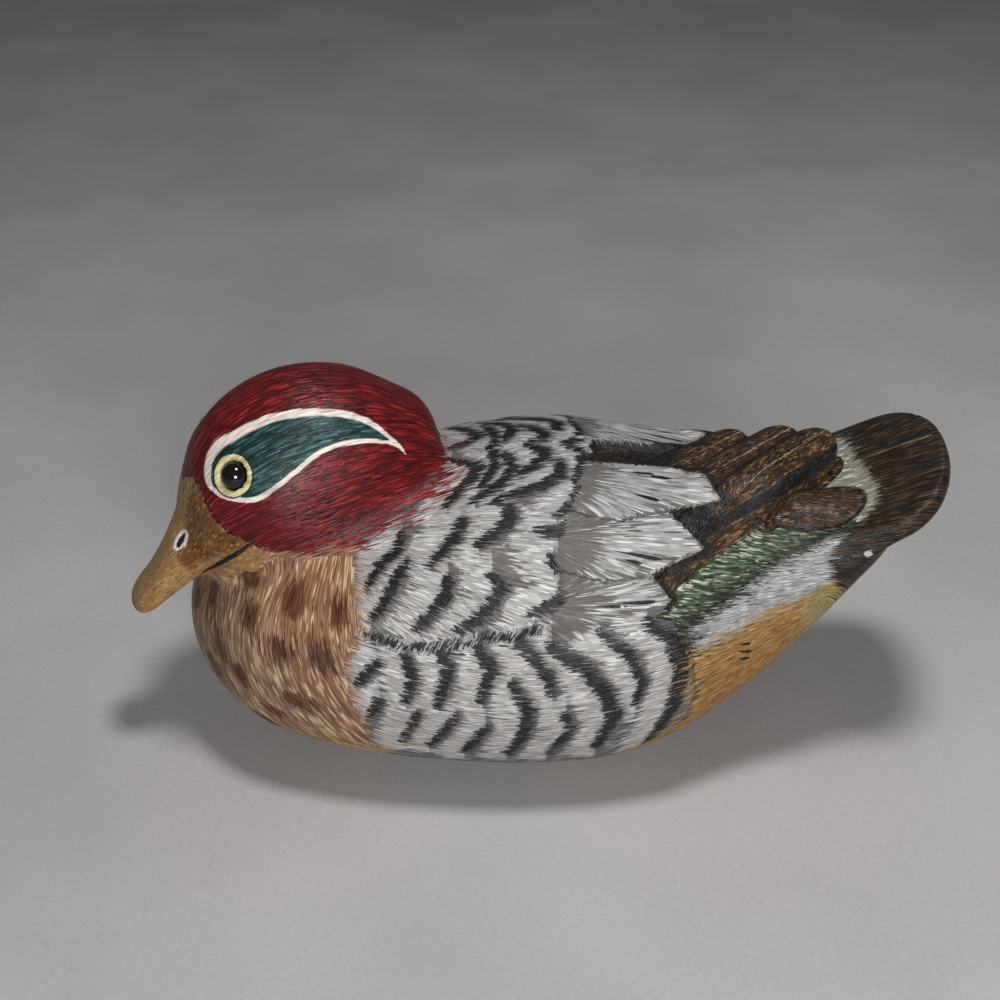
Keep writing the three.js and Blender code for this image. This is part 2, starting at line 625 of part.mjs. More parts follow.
// Folds edges away, cheapest first, where the flat planes round an edge are least disturbed by it.
// Flat places end up with few large facets, and carved places keep many small ones.
function simplify({ positions, triangles }, target) {
  const vertexCount = positions.length / 3;
  const faces = Int32Array.from(triangles);
  const faceCount = faces.length / 3;
  const alive = new Uint8Array(faceCount).fill(1);
  const facesAt = Array.from({ length: vertexCount }, () => new Set());
  const stamp = new Int32Array(vertexCount);
  const planes = new Float64Array(vertexCount * 10);
  const p = (v, axis) => positions[3 * v + axis];

  const normalOf = (ax, ay, az, bx, by, bz, cx, cy, cz) => {
    const [ux, uy, uz, vx, vy, vz] = [bx - ax, by - ay, bz - az, cx - ax, cy - ay, cz - az];
    return [uy * vz - uz * vy, uz * vx - ux * vz, ux * vy - uy * vx];
  };
  const faceNormal = (f, moved, to) => {
    const c = [];
    for (let corner = 0; corner < 3; corner += 1) {
      const v = faces[3 * f + corner];
      if (v === moved) c.push(to[0], to[1], to[2]);
      else c.push(p(v, 0), p(v, 1), p(v, 2));
    }
    return normalOf(...c);
  };

  for (let f = 0; f < faceCount; f += 1) {
    const n = faceNormal(f, -1, null);
    const size = Math.hypot(...n) || 1e-12;
    const [a, b, c] = n.map((value) => value / size);
    const v0 = faces[3 * f];
    const d = -(a * p(v0, 0) + b * p(v0, 1) + c * p(v0, 2));
    const terms = [a * a, a * b, a * c, a * d, b * b, b * c, b * d, c * c, c * d, d * d];
    for (let corner = 0; corner < 3; corner += 1) {
      const v = faces[3 * f + corner];
      facesAt[v].add(f);
      terms.forEach((term, i) => { planes[10 * v + i] += (term * size) / 2; });
    }
  }

  const costAt = (q, x, y, z) => q[0] * x * x + 2 * q[1] * x * y + 2 * q[2] * x * z + 2 * q[3] * x
    + q[4] * y * y + 2 * q[5] * y * z + 2 * q[6] * y + q[7] * z * z + 2 * q[8] * z + q[9];

  // The best place for the vertex that replaces an edge, and what it costs to put it there.
  const bestFor = (a, b) => {
    const q = new Array(10);
    for (let i = 0; i < 10; i += 1) q[i] = planes[10 * a + i] + planes[10 * b + i];
    const [xx, xy, xz, xd, yy, yz, yd, zz, zd] = q;
    const det = xx * (yy * zz - yz * yz) - xy * (xy * zz - yz * xz) + xz * (xy * yz - yy * xz);
    const length = Math.hypot(p(a, 0) - p(b, 0), p(a, 1) - p(b, 1), p(a, 2) - p(b, 2));
    const middle = [0, 1, 2].map((axis) => (p(a, axis) + p(b, axis)) / 2);
    const choices = [middle, [0, 1, 2].map((axis) => p(a, axis)), [0, 1, 2].map((axis) => p(b, axis))];
    const trace = xx + yy + zz;
    if (Math.abs(det) > 1e-5 * trace * trace * trace) {
      const x = -(xd * (yy * zz - yz * yz) - xy * (yd * zz - yz * zd) + xz * (yd * yz - yy * zd)) / det;
      const y = -(xx * (yd * zz - yz * zd) - xd * (xy * zz - yz * xz) + xz * (xy * zd - yd * xz)) / det;
      const z = -(xx * (yy * zd - yd * yz) - xy * (xy * zd - yd * xz) + xd * (xy * yz - yy * xz)) / det;
      if (Math.hypot(x - middle[0], y - middle[1], z - middle[2]) < length) choices.push([x, y, z]);
    }
    let best = null;
    for (const place of choices) {
      const cost = costAt(q, ...place) + 2e-4 * length * length;
      if (best === null || cost < best.cost) best = { cost, place };
    }
    return { ...best, a, b, stampA: stamp[a], stampB: stamp[b] };
  };

  const neighbours = (v) => {
    const found = new Set();
    for (const f of facesAt[v]) {
      for (let corner = 0; corner < 3; corner += 1) found.add(faces[3 * f + corner]);
    }
    found.delete(v);
    return found;
  };

  const staysFlat = (v, other, place) => {
    for (const f of facesAt[v]) {
      if (facesAt[other].has(f)) continue;
      const before = faceNormal(f, -1, null);
      const after = faceNormal(f, v, place);
      const sizes = Math.hypot(...before) * Math.hypot(...after);
      const dot = before[0] * after[0] + before[1] * after[1] + before[2] * after[2];
      if (dot < 0.35 * sizes || Math.hypot(...after) < 1e-3) return false;
    }
    return true;
  };

  const queue = new Queue();
  for (let v = 0; v < vertexCount; v += 1) {
    for (const other of neighbours(v)) {
      if (other > v) queue.push(bestFor(v, other));
    }
  }
  let left = faceCount;
  while (left > target && queue.items.length > 0) {
    const { a, b, place, stampA, stampB } = queue.pop();
    if (stamp[a] !== stampA || stamp[b] !== stampB) continue;
    const around = neighbours(a);
    const shared = [...neighbours(b)].filter((v) => around.has(v));
    if (shared.length !== 2 || !staysFlat(a, b, place) || !staysFlat(b, a, place)) continue;
    for (const f of facesAt[b]) {
      if (facesAt[a].has(f)) {
        alive[f] = 0;
        left -= 1;
        for (let corner = 0; corner < 3; corner += 1) {
          if (faces[3 * f + corner] !== b) facesAt[faces[3 * f + corner]].delete(f);
        }
      } else {
        for (let corner = 0; corner < 3; corner += 1) {
          if (faces[3 * f + corner] === b) faces[3 * f + corner] = a;
        }
        facesAt[a].add(f);
      }
    }
    facesAt[b].clear();
    stamp[b] = -1;
    stamp[a] += 1;
    for (let axis = 0; axis < 3; axis += 1) positions[3 * a + axis] = place[axis];
    for (let i = 0; i < 10; i += 1) planes[10 * a + i] += planes[10 * b + i];
    for (const v of neighbours(a)) queue.push(bestFor(a, v));
  }

  const kept = new Map();
  const outPositions = [];
  const outTriangles = [];
  for (let f = 0; f < faceCount; f += 1) {
    if (!alive[f]) continue;
    for (let corner = 0; corner < 3; corner += 1) {
      const v = faces[3 * f + corner];
      if (!kept.has(v)) {
        kept.set(v, kept.size);
        outPositions.push(p(v, 0), p(v, 1), p(v, 2));
      }
      outTriangles.push(kept.get(v));
    }
  }
  return { positions: Float64Array.from(outPositions), triangles: Int32Array.from(outTriangles) };
}

const wasm = await Module();
wasm.setup();

function toSolid(geometry) {
  const bare = new THREE.BufferGeometry();
  bare.setAttribute("position", geometry.getAttribute("position"));
  bare.setIndex(geometry.getIndex());
  const merged = mergeVertices(bare, 1e-4);
  const vertProperties = Float32Array.from(merged.getAttribute("position").array);
  const triVerts = Uint32Array.from(merged.getIndex().array);
  return new wasm.Manifold(new wasm.Mesh({ numProp: 3, vertProperties, triVerts }));
}

function toGeometry(solid) {
  const mesh = solid.getMesh();
  const geometry = new THREE.BufferGeometry();
  geometry.setAttribute("position", new THREE.BufferAttribute(Float32Array.from(mesh.vertProperties), 3));
  geometry.setIndex(new THREE.BufferAttribute(Uint32Array.from(mesh.triVerts), 1));
  geometry.computeVertexNormals();
  return geometry;
}

// Centre of an eye bead: the marked place on the head, moved onto the wood and sunk into it.
function eyeCentre(side, eyeUp) {
  const place = HEAD_CENTRE.clone();
  [EYE_FORWARD, side * EYE_ACROSS, eyeUp].forEach((amount, i) => place.addScaledVector(headAxes[i], amount));
  const onWood = Float64Array.from(place.toArray());
  settle(onWood, duckDistance, 4, 2);
  const h = 0.5;
  const [x, y, z] = onWood;
  const outward = new THREE.Vector3(
    duckDistance(x + h, y, z) - duckDistance(x - h, y, z),
    duckDistance(x, y + h, z) - duckDistance(x, y - h, z),
    duckDistance(x, y, z + h) - duckDistance(x, y, z - h),
  ).normalize();
  return new THREE.Vector3(x, y, z).addScaledVector(outward, -EYE_SUNK);
}

function ball(centre, radius) {
  return new THREE.SphereGeometry(radius, EYE_SIDES, EYE_RINGS).translate(centre.x, centre.y, centre.z);
}

function carveWood(eyes) {
  const fine = surfaceOf(duckDistance, [-90, -46, -6], [90, 46, 84], GRID_STEP);
  settle(fine.positions, duckDistance, 2, GRID_STEP / 2);
  const { positions, triangles } = simplify(fine, FACET_TARGET);
  const geometry = new THREE.BufferGeometry();
  geometry.setAttribute("position", new THREE.BufferAttribute(Float32Array.from(positions), 3));
  geometry.setIndex(new THREE.BufferAttribute(Uint32Array.from(triangles), 1));
  // The underside is planed flat at z = 0 so that the duck stands.
  let wood = toSolid(geometry).subtract(toSolid(new THREE.BoxGeometry(240, 140, 20).translate(0, 0, -10)));
  for (const centre of eyes) wood = wood.subtract(toSolid(ball(centre, EYE_RADIUS + EYE_GAP)));
  return toGeometry(wood);
}

function meshOf(name, geometry, colour, roughness) {
  const material = new THREE.MeshStandardMaterial({ color: colour, roughness, metalness: 0 });
  const mesh = new THREE.Mesh(geometry, material);
  mesh.name = name;
  return mesh;
}

const leftEye = eyeCentre(-1, LEFT_EYE_UP);
const rightEye = eyeCentre(1, RIGHT_EYE_UP);
const duck = new THREE.Group();
duck.name = "carved_wooden_duck";
duck.add(
  meshOf("carved_duck", carveWood([leftEye, rightEye]), COLOURS.wood, 0.5),
  meshOf("eye_left", toGeometry(toSolid(ball(leftEye, EYE_RADIUS))), COLOURS.eye, 0.08),
  meshOf("eye_right", toGeometry(toSolid(ball(rightEye, EYE_RADIUS))), COLOURS.eye, 0.08),
);

// The origin goes to the middle of the box round the duck, at table height.
const middle = new THREE.Box3().setFromObject(duck).getCenter(new THREE.Vector3());
for (const mesh of duck.children) mesh.geometry.translate(-middle.x, -middle.y, 0);

export default duck;
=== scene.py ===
# %% [markdown]
# # A small carved wooden duck
# A palm-sized drake is carved from one block of soft, even wood such as jelutong or lime, then painted by
# hand. The body is sculpted here as distances: each volume says how far a point is from it, and soft
# joins do what the carver's rasp does where two volumes meet. The paint is laid out in the same measures
# and in millimetres.

import bpy
import numpy as np
import openvdb
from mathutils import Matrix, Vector


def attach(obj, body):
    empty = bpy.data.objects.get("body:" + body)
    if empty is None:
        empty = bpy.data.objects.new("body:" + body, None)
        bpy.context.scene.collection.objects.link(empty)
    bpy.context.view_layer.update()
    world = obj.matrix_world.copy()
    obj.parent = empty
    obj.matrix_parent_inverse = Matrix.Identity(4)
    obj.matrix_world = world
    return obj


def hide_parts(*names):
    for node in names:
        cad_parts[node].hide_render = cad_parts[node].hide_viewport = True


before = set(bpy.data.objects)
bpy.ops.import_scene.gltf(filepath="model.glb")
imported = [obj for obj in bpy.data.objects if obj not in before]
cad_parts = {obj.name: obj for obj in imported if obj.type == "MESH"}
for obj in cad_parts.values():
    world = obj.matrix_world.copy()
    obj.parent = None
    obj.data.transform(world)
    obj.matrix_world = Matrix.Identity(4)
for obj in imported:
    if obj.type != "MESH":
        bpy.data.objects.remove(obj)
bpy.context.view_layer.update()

# %% [markdown]
# ## Number tools
# Small pieces of arithmetic that the carving and the paint layout share.

# %% Number tools
def ramp(t):
    """A smooth step from 0 to 1."""
    t = np.clip(t, 0, 1)
    return t * t * (3 - 2 * t)


def blend(a, b, size):
    """Union of two distances with a rounded join of the given size."""
    h = np.maximum(size - np.abs(a - b), 0) / size
    return np.minimum(a, b) - h ** 3 * size / 6


def trim(a, b, size):
    """Intersection of two distances with a rounded edge of the given size."""
    return -blend(-a, -b, size)


def look_up(rows, at):
    """Straight-line reading of a small table of (at, value) rows."""
    rows = np.array(rows, float)
    return np.interp(at, rows[:, 0], rows[:, 1])


def curve_through(at, value, x):
    """A smooth curve through points, with the ends left free."""
    step, rise = np.diff(at), np.diff(value) / np.diff(at)
    between = (rise[:-1] * step[1:] + rise[1:] * step[:-1]) / (step[1:] + step[:-1])
    slope = np.concatenate([rise[:1], between, rise[-1:]])
    i = np.clip(np.searchsorted(at, x, side="right") - 1, 0, len(at) - 2)
    h = step[i]
    t = np.clip((x - at[i]) / h, 0, 1)
    start = (2 * t ** 3 - 3 * t ** 2 + 1) * value[i] + (t ** 3 - 2 * t ** 2 + t) * h * slope[i]
    return start + (3 * t ** 2 - 2 * t ** 3) * value[i + 1] + (t ** 3 - t ** 2) * h * slope[i + 1]


class Loft:
    """A rounded solid along one axis, whose cross sections are superellipses."""

    samples, thinnest, steepest = 601, 0.05, 1.6

    def __init__(self, stations, powers):
        at, *columns = np.array(stations, float).T
        self.start, self.end, self.powers = at[0], at[-1], powers

        def angle(x):
            return np.arccos(np.clip(1 - 2 * (x - self.start) / (self.end - self.start), -1, 1))

        self.x = np.linspace(self.start, self.end, self.samples)
        self.table = [curve_through(angle(at), column, angle(self.x)) for column in columns]
        slope = np.max([np.abs(np.gradient(row, self.x)) for row in self.table[:3]], axis=0)
        self.lean = np.hypot(1, np.minimum(slope, self.steepest))

    def section(self, x, z):
        """Half width, girth height, and reach of the section above or below the girth."""
        half, top, bottom, girth = [np.interp(x, self.x, row) for row in self.table]
        reach = np.where(z > girth, top - girth, girth - bottom)
        return np.maximum(half, self.thinnest), girth, np.maximum(reach, self.thinnest)

    def distance(self, x, y, z):
        half, girth, reach = self.section(x, z)
        power = np.where(z > girth, *self.powers)
        ratio = ((np.abs(y) / half) ** power + (np.abs(z - girth) / reach) ** power) ** (1 / power)
        away = np.hypot(y, z - girth)
        radius = np.clip(away / np.maximum(ratio, 1e-6), np.minimum(half, reach), np.maximum(half, reach))
        d = (ratio - 1) * radius / np.interp(x, self.x, self.lean)
        beyond = np.maximum(np.maximum(self.start - x, x - self.end), 0)
        return np.where(beyond > 0, np.hypot(np.maximum(d, 0), beyond), d)


def frame_axes(lift, turn, roll, facing):
    """Forward, across and up axes of a part that is lifted, turned and rolled by degrees."""
    p, t, r = np.radians([lift, turn, roll])
    forward = np.array([facing * np.cos(p) * np.cos(t), facing * np.cos(p) * np.sin(t), np.sin(p)])
    side = np.array([-np.sin(t), np.cos(t), 0])
    up = np.cross(forward, side) * facing
    return forward, side * np.cos(r) + up * np.sin(r), up * np.cos(r) - side * np.sin(r)


def in_frame(origin, axes, x, y, z):
    """Place along each axis of a part's own frame."""
    return [(x - origin[0]) * a[0] + (y - origin[1]) * a[1] + (z - origin[2]) * a[2] for a in axes]


print("two flat faces joined with a 2 mm round stand", round(-blend(0, 0, 2), 2), "mm proud")

# %% [markdown]
# ### Body, head and bill
# The real duck is carved from one block. Body, head and bill are each lofted here from cross-sections:
# rows of a place along the axis with the half width and the upper and lower reach there. Rounded joins
# melt them together, as sanding does. Keeping the form as a distance lets every later cut be a small sum
# on one number.

# %% Body, head and bill
BODY = Loft([
    (-72.3, 0.5, 24.5, 23.5, 24.0), (-70.0, 11.0, 33.5, 15.0, 24.0), (-65.0, 19.5, 38.5, 9.0, 24.0),
    (-55.0, 29.5, 46.0, 3.6, 24.0), (-40.0, 35.5, 52.0, 0.0, 24.0), (-20.0, 38.8, 58.0, -2.2, 24.5),
    (0.0, 39.5, 60.8, -3.0, 25.5), (15.0, 38.0, 60.0, -2.0, 27.0), (28.0, 34.5, 57.5, 3.5, 29.5),
    (40.0, 28.8, 54.5, 11.8, 33.5), (52.0, 23.5, 51.0, 24.6, 38.5), (60.0, 19.5, 50.5, 34.5, 43.0),
    (66.0, 16.5, 53.0, 42.0, 47.5), (71.0, 10.5, 55.5, 49.5, 52.5), (74.0, 0.5, 56.5, 55.5, 56.0),
], (2.2, 2.25))
HEAD = Loft([
    (-27.0, 0.5, 0.5, -2.5, -1.0), (-25.5, 8.0, 5.5, -8.0, -1.0), (-22.0, 12.5, 9.0, -13.0, -1.0),
    (-12.0, 17.8, 17.0, -19.0, -1.0), (0.0, 19.5, 20.0, -20.0, -1.0), (10.0, 18.8, 18.2, -19.5, -1.5),
    (18.0, 15.5, 13.4, -17.5, -2.5), (23.5, 10.5, 5.5, -14.5, -4.0), (26.5, 0.5, -4.5, -5.5, -5.0),
], (2.1, 2.2))
BILL = Loft([
    (-6.0, 10.4, 13.0, -9.0, 0.0), (0.0, 9.0, 10.6, -7.8, 0.0), (6.0, 7.4, 7.4, -5.2, 0.0),
    (12.0, 6.4, 4.7, -3.6, 0.0), (17.0, 6.1, 3.0, -2.6, 0.0), (20.5, 5.8, 2.2, -2.1, 0.0),
    (22.7, 4.6, 1.5, -1.6, 0.0), (24.2, 0.3, 0.1, -0.1, 0.0),
], (2.3, 2.3))
HEAD_CENTRE = np.array([-47.0, -1.0, 56.6])
HEAD_AXES = frame_axes(lift=-12, turn=18, roll=0, facing=-1)
BILL_FORWARD, BILL_UP, BILL_SLOPE = 19.5, -6.5, np.radians(27)
NECK_CENTRE, NECK_RADII = (-41.0, -0.5, 38.0), (22.0, 19.5, 26.0)


def in_bill(forward, across, up):
    """Along, across and over the bill, from a place in the head's frame."""
    df, du = forward - BILL_FORWARD, up - BILL_UP
    c, s = np.cos(BILL_SLOPE), np.sin(BILL_SLOPE)
    return df * c - du * s, across, df * s + du * c


def neck_distance(x, y, z):
    parts = [(p - c) / r for p, c, r in zip((x, y, z), NECK_CENTRE, NECK_RADII)]
    return (np.sqrt(sum(p * p for p in parts)) - 1) * NECK_RADII[1]


MOUTH_CORNER, MOUTH_FRONT, MOUTH_DEPTH, MOUTH_WIDTH = -8, 17, 0.9, 0.75
MOUTH_LINE = [
    (-8, 1.8), (-5.9, 1.4), (-3.6, 1), (-1.2, 0.6), (1, 0.1), (3.4, -0.7), (6, -1.9), (9, -2.6),
    (14, -2.4), (20, -2.3)]


def mouth_over(along, up):
    """Height over the parting of the bill, which climbs towards the corner of the mouth."""
    return up - look_up(MOUTH_LINE, along)


def mouth_cut(along, across, up):
    """Depth of the groove between the two halves of the bill, which runs out at both ends."""
    run = ramp((along - MOUTH_CORNER) / 3) * (1 - ramp((along - MOUTH_FRONT) / 6))
    run = run * ramp((np.abs(across) - 2) / 3)
    return MOUTH_DEPTH * run * np.exp(-(mouth_over(along, up) / MOUTH_WIDTH) ** 2)


for name, part in (("body", BODY), ("head", HEAD), ("bill", BILL)):
    print(name, "is", round(part.end - part.start, 1), "by", (2 * part.table[0].max()).round(1), "mm")


# %% [markdown]
# ### Tail and folded wings
# The tail is a thin cupped slab with a rounded end. The folded flight feathers are long round-ended
# blades that cross over the rump; each sinks into the back at its root and stands clear at its tip.

# %% Tail and folded wings
TAIL_ROOT = np.array([50.0, 1.5, 48.3])
TAIL_AXES = frame_axes(lift=25, turn=-4, roll=3, facing=1)
# The tail's start behind its root, its straight length and its rounded end, along its own axis.
TAIL_START, TAIL_STRAIGHT, TAIL_ROUNDED = -10, 19, 13
TAIL_HALF, TAIL_FLARE, TAIL_POWER = 19.6, 0.8, 2.15
TAIL_HALF_THICK, TAIL_THINNED, TAIL_CUP = 3.4, 2.0, 0.0028
FEATHER_THICK, FEATHER_SUNK, CLEAR_FROM = 5, 0.6, 0.35
# Root x, y; tip x, y; half width at root and tip; height at root and tip.
LEFT_FEATHERS = [
    (20, -30, 54.6, 6.0, 5.0, 4.8, 57.0, 59.2), (15, -24, 48.0, 9.0, 5.5, 4.8, 57.5, 58.2),
    (12, -17, 37.5, 8.0, 6.0, 4.8, 58.5, 57.9)]
RIGHT_FEATHERS = [
    (41, -6, 56.6, -8.3, 4.8, 4.8, 53.5, 53.5), (20, 30, 46.0, -1.0, 5.0, 4.6, 58.0, 54.6),
    (15, 24, 39.0, -1.0, 5.5, 4.6, 58.5, 55.0), (12, 17, 34.0, -1.0, 6.0, 4.6, 59.0, 55.8)]


def tail_distance(x, y, z):
    along, across, over = in_frame(TAIL_ROOT, TAIL_AXES, x, y, z)
    taper = np.clip(along / (TAIL_STRAIGHT + TAIL_ROUNDED), 0, 1)
    end = np.maximum(along - TAIL_STRAIGHT, 0) / TAIL_ROUNDED
    side = np.abs(across) / (TAIL_HALF + TAIL_FLARE * taper)
    outline = ((end ** TAIL_POWER + side ** TAIL_POWER) ** (1 / TAIL_POWER) - 1) * TAIL_ROUNDED
    half = TAIL_HALF_THICK - TAIL_THINNED * taper
    slab = np.abs(over + TAIL_CUP * across ** 2 + half) - half
    return trim(trim(outline, slab, 1.5), TAIL_START - along, 2)


def along_feather(x, y, feather, inner):
    """Place along a feather from its root, place across it with the inner side positive, and its length."""
    x0, y0, x1, y1 = feather[:4]
    length = np.hypot(x1 - x0, y1 - y0)
    ux, uy = (x1 - x0) / length, (y1 - y0) / length
    along = (x - x0) * ux + (y - y0) * uy
    return along, ((y - y0) * ux - (x - x0) * uy) * inner, length


def crown(across):
    """Height of a feather's rounded back, which leans down towards its outer side."""
    return 0.1 * across - 0.05 * across ** 2


def feather_distance(x, y, z, body, feather, inner):
    """One feather, cut to its outline, its rounded back, the wood it grows out of and its thickness."""
    along, across, length = along_feather(x, y, feather, inner)
    root_half, tip_half, root_top, tip_top = feather[4:]
    t = np.clip(along / length, 0, 1)
    outline = np.hypot(along - t * length, across) - (root_half + (tip_half - root_half) * t)
    hump = crown(across)
    top = root_top + (tip_top - root_top) * t + hump
    clear = np.clip((t - CLEAR_FROM) / (1 - CLEAR_FROM), 0, 1)
    lift = -FEATHER_SUNK + 2.2 * t + 9 * clear ** 1.3 + 0.7 * hump
    blade = trim(trim(outline, z - top, 1.2), body - lift, 0.9)
    return trim(blade, top - FEATHER_THICK - 30 * (1 - t) - z, 1.5)


def wing_distance(x, y, z, body):
    """All feathers: each side's own are joined first, and the two stacks then cross."""
    stacks = []
    for feathers, inner in ((RIGHT_FEATHERS, -1), (LEFT_FEATHERS, 1)):
        blades = [feather_distance(x, y, z, body, f, inner) for f in feathers]
        joined = blades[0]
        for blade in blades[1:]:
            joined = blend(joined, blade, 0.3)
        stacks.append(joined)
    return blend(*stacks, 0.5)


print(len(LEFT_FEATHERS), "feathers on the left and", len(RIGHT_FEATHERS), "on the right")

# %% [markdown]
# ### Carving on the body
# The scapular feathers end in a ragged step, about as deep as a shallow gouge cuts, and two valleys run
# back between them. Both are drawn on the unrolled body: how far along it, and how far round from the
# spine.

# %% Carving on the body
MEAN_RADIUS = 39.0
# Joins between the volumes, and the places where the front ends and the rear begins.
NECK_JOIN, BREAST_JOIN, BILL_JOIN, TAIL_JOIN, WING_JOIN = 5, 7, 3, 4, 0.8
FRONT_END, REAR_START = 0, 4
CAPE_EDGE = [
    (0, 9), (2.6, 10), (6.2, 30.7), (15.6, 34), (18.8, 23.5), (28.5, 30.4), (33.8, 19.8), (39.8, 23.4),
    (43.5, 20.5), (45.3, 23.7), (56, 27.2), (70, 28.4), (80, 26.5), (86, 19), (92, 0)]
CAPE_STEP = [(0, 1.6), (42, 1.6), (48, 0.9), (70, 0.8), (88, 0)]
STEP_FADES, STEP_GONE = 40, 56
VALLEYS = [
    (1.1, [(23.5, 18.9), (14.2, 22), (4, 20)]), (1.1, [(19.1, 34.3), (10.7, 34.8), (1, 32)]),
    (1.2, [(20.5, 42.8), (9.2, 44.4), (0, 46), (-17.6, 45), (-34, 43)])]


def round_body(x, y, z):
    """Distance round the body from the spine, the same on both sides."""
    half, girth, reach = BODY.section(x, z)
    return MEAN_RADIUS * np.arctan2(np.abs(y) / half, (z - girth) / reach)


def near_line(x, r, line):
    """Distance to a bent line on the body's chart, and the share of the line run there."""
    line = np.array(line, float)
    lengths = np.hypot(*np.diff(line, axis=0).T)
    nearest, place, run = np.full(np.shape(x), 1e3), np.zeros(np.shape(x)), 0
    for (ax, ar), (bx, br), length in zip(line[:-1], line[1:], lengths):
        t = np.clip(((x - ax) * (bx - ax) + (r - ar) * (br - ar)) / length ** 2, 0, 1)
        off = np.hypot(x - ax - t * (bx - ax), r - ar - t * (br - ar))
        place = np.where(off < nearest, (run + t * length) / lengths.sum(), place)
        nearest = np.minimum(off, nearest)
        run += length
    return nearest, place


def beyond_cape(x, r):
    """How far a place lies behind the edge of the cape and flank feathers."""
    slope = look_up(CAPE_EDGE, r + 0.5) - look_up(CAPE_EDGE, r - 0.5)
    return (x - look_up(CAPE_EDGE, r)) / np.hypot(1, slope)


def relief(x, r):
    """Height of the carving over the plain body: the step behind the cape, less the valleys in it."""
    beyond = beyond_cape(x, r)
    fade = 1 - ramp((x - STEP_FADES) / (STEP_GONE - STEP_FADES))
    height = -look_up(CAPE_STEP, r) * ramp((beyond + 0.3) / 0.9) * fade
    for depth, line in VALLEYS:
        off, place = near_line(x, r, line)
        cut = depth * (1 - ramp((place - 0.35) / 0.65)) * np.exp(-np.hypot(off, 0.55) / 2.2)
        height = height - cut * (1 - ramp(beyond + 0.3))
    return height


def duck_distance(x, y, z):
    """The whole carving: negative inside the wood, positive outside."""
    body = BODY.distance(x, y, z)
    d = np.where(np.abs(body) < 4, body - relief(x, round_body(x, y, z)), body)
    forward, across, up = in_frame(HEAD_CENTRE, HEAD_AXES, x, y, z)
    along, _, over = in_bill(forward, across, up)
    head = blend(HEAD.distance(forward, across, up), neck_distance(x, y, z), NECK_JOIN)
    front = blend(blend(d, head, BREAST_JOIN), BILL.distance(along, across, over), BILL_JOIN)
    front = front + mouth_cut(along, across, over)
    rear = blend(blend(d, tail_distance(x, y, z), TAIL_JOIN), wing_distance(x, y, z, body), WING_JOIN)
    return np.where(x < FRONT_END, front, np.where(x > REAR_START, rear, d))


print("step behind the cape", -relief(np.array(38.0), np.array(30.0)).round(1), "mm")

# %% [markdown]
# ## Fine carving
# With the big forms done, a knife and a veining tool cut the nostrils and the partings between the tail
# feathers, and a drill opens the sockets for the bead eyes.

# %% Fine cuts
BEAD_RADIUS, SOCKET_RADIUS, BEAD_SUNK = 2.7, 2.95, 1.2
EYE_PLACES = {"eye_left": (14.6, -12.8, 10.5), "eye_right": (14.6, 12.8, 7.8)}
NOSTRIL, NOSTRIL_HALF_LENGTH, NOSTRIL_HALF_WIDTH = (6.4, 4.7, 6.0), 2.5, 1.4
NOSTRIL_DEPTH, PARTING_WIDTH, PARTING_START = 0.45, 0.55, 13
SLOPE_REACH, LEAST_SLOPE = 0.05, 0.1
TAIL_PARTINGS = [(-15.4, 0.55), (-6.0, 0.2), (5.5, 0.2), (14.5, 0.45)]   # across the tail, and depth


def slope_of(distance, places, h):
    """The direction in which the distance grows fastest."""
    x, y, z = places
    return np.array([
        distance(x + h, y, z) - distance(x - h, y, z),
        distance(x, y + h, z) - distance(x, y - h, z),
        distance(x, y, z + h) - distance(x, y, z - h)]) / (2 * h)


def settle(distance, places, rounds, longest):
    """Moves points onto the surface along the slope of the distance, no further than `longest` a round."""
    for _ in range(rounds):
        slope = slope_of(distance, places, SLOPE_REACH)
        steep = np.maximum(np.sqrt((slope ** 2).sum(0)), LEAST_SLOPE)
        places = places - slope / steep * np.clip(distance(*places) / steep, -longest, longest)
    return places


beads = {}
for name, place in EYE_PLACES.items():
    spot = HEAD_CENTRE + sum(amount * axis for amount, axis in zip(place, HEAD_AXES))
    spot = settle(duck_distance, spot[:, None], 4, 2)
    outward = slope_of(duck_distance, spot, 0.5)[:, 0]
    outward /= np.linalg.norm(outward)
    beads[name] = (spot[:, 0] - BEAD_SUNK * outward, outward)
    print(name, "bead centre", beads[name][0].round(2))


def nostril_spot(along, across, over):
    """Place along and round the bill from a nostril's middle, in shares of its half length and half width."""
    turn = np.arctan2(over, np.abs(across)) - np.arctan2(NOSTRIL[2], NOSTRIL[1])
    lengthways = (along - NOSTRIL[0]) / NOSTRIL_HALF_LENGTH
    return lengthways, turn * np.hypot(NOSTRIL[1], NOSTRIL[2]) / NOSTRIL_HALF_WIDTH


def fine_distance(x, y, z):
    """The carving with its sockets, nostrils and tail partings, cut off flat underneath."""
    d = duck_distance(x, y, z)
    for centre, _ in beads.values():
        away = np.sqrt((x - centre[0]) ** 2 + (y - centre[1]) ** 2 + (z - centre[2]) ** 2)
        d = trim(d, SOCKET_RADIUS - away, 0.3)
    forward, across, up = in_frame(HEAD_CENTRE, HEAD_AXES, x, y, z)
    long, round_it = nostril_spot(*in_bill(forward, across, up))
    dent = NOSTRIL_DEPTH * np.exp(-(1.6 * long) ** 2 - (1.8 * round_it) ** 2)
    d = d + np.where(forward > 22, dent, 0)
    along, across, over = in_frame(TAIL_ROOT, TAIL_AXES, x, y, z)
    on_top = ramp(over + 1.5) * ramp((along - PARTING_START) / 3)
    for middle, depth in TAIL_PARTINGS:
        d = d + depth * on_top * np.exp(-((across - middle) / PARTING_WIDTH) ** 2)
    return np.maximum(d, -z)


# %% [markdown]
# ## From distances to a surface
# The distances are read on a fine grid near the surface only, the grid is turned into a closed skin, and
# every point of the skin is then moved exactly onto the carving. A finer grid shows more of the carving.

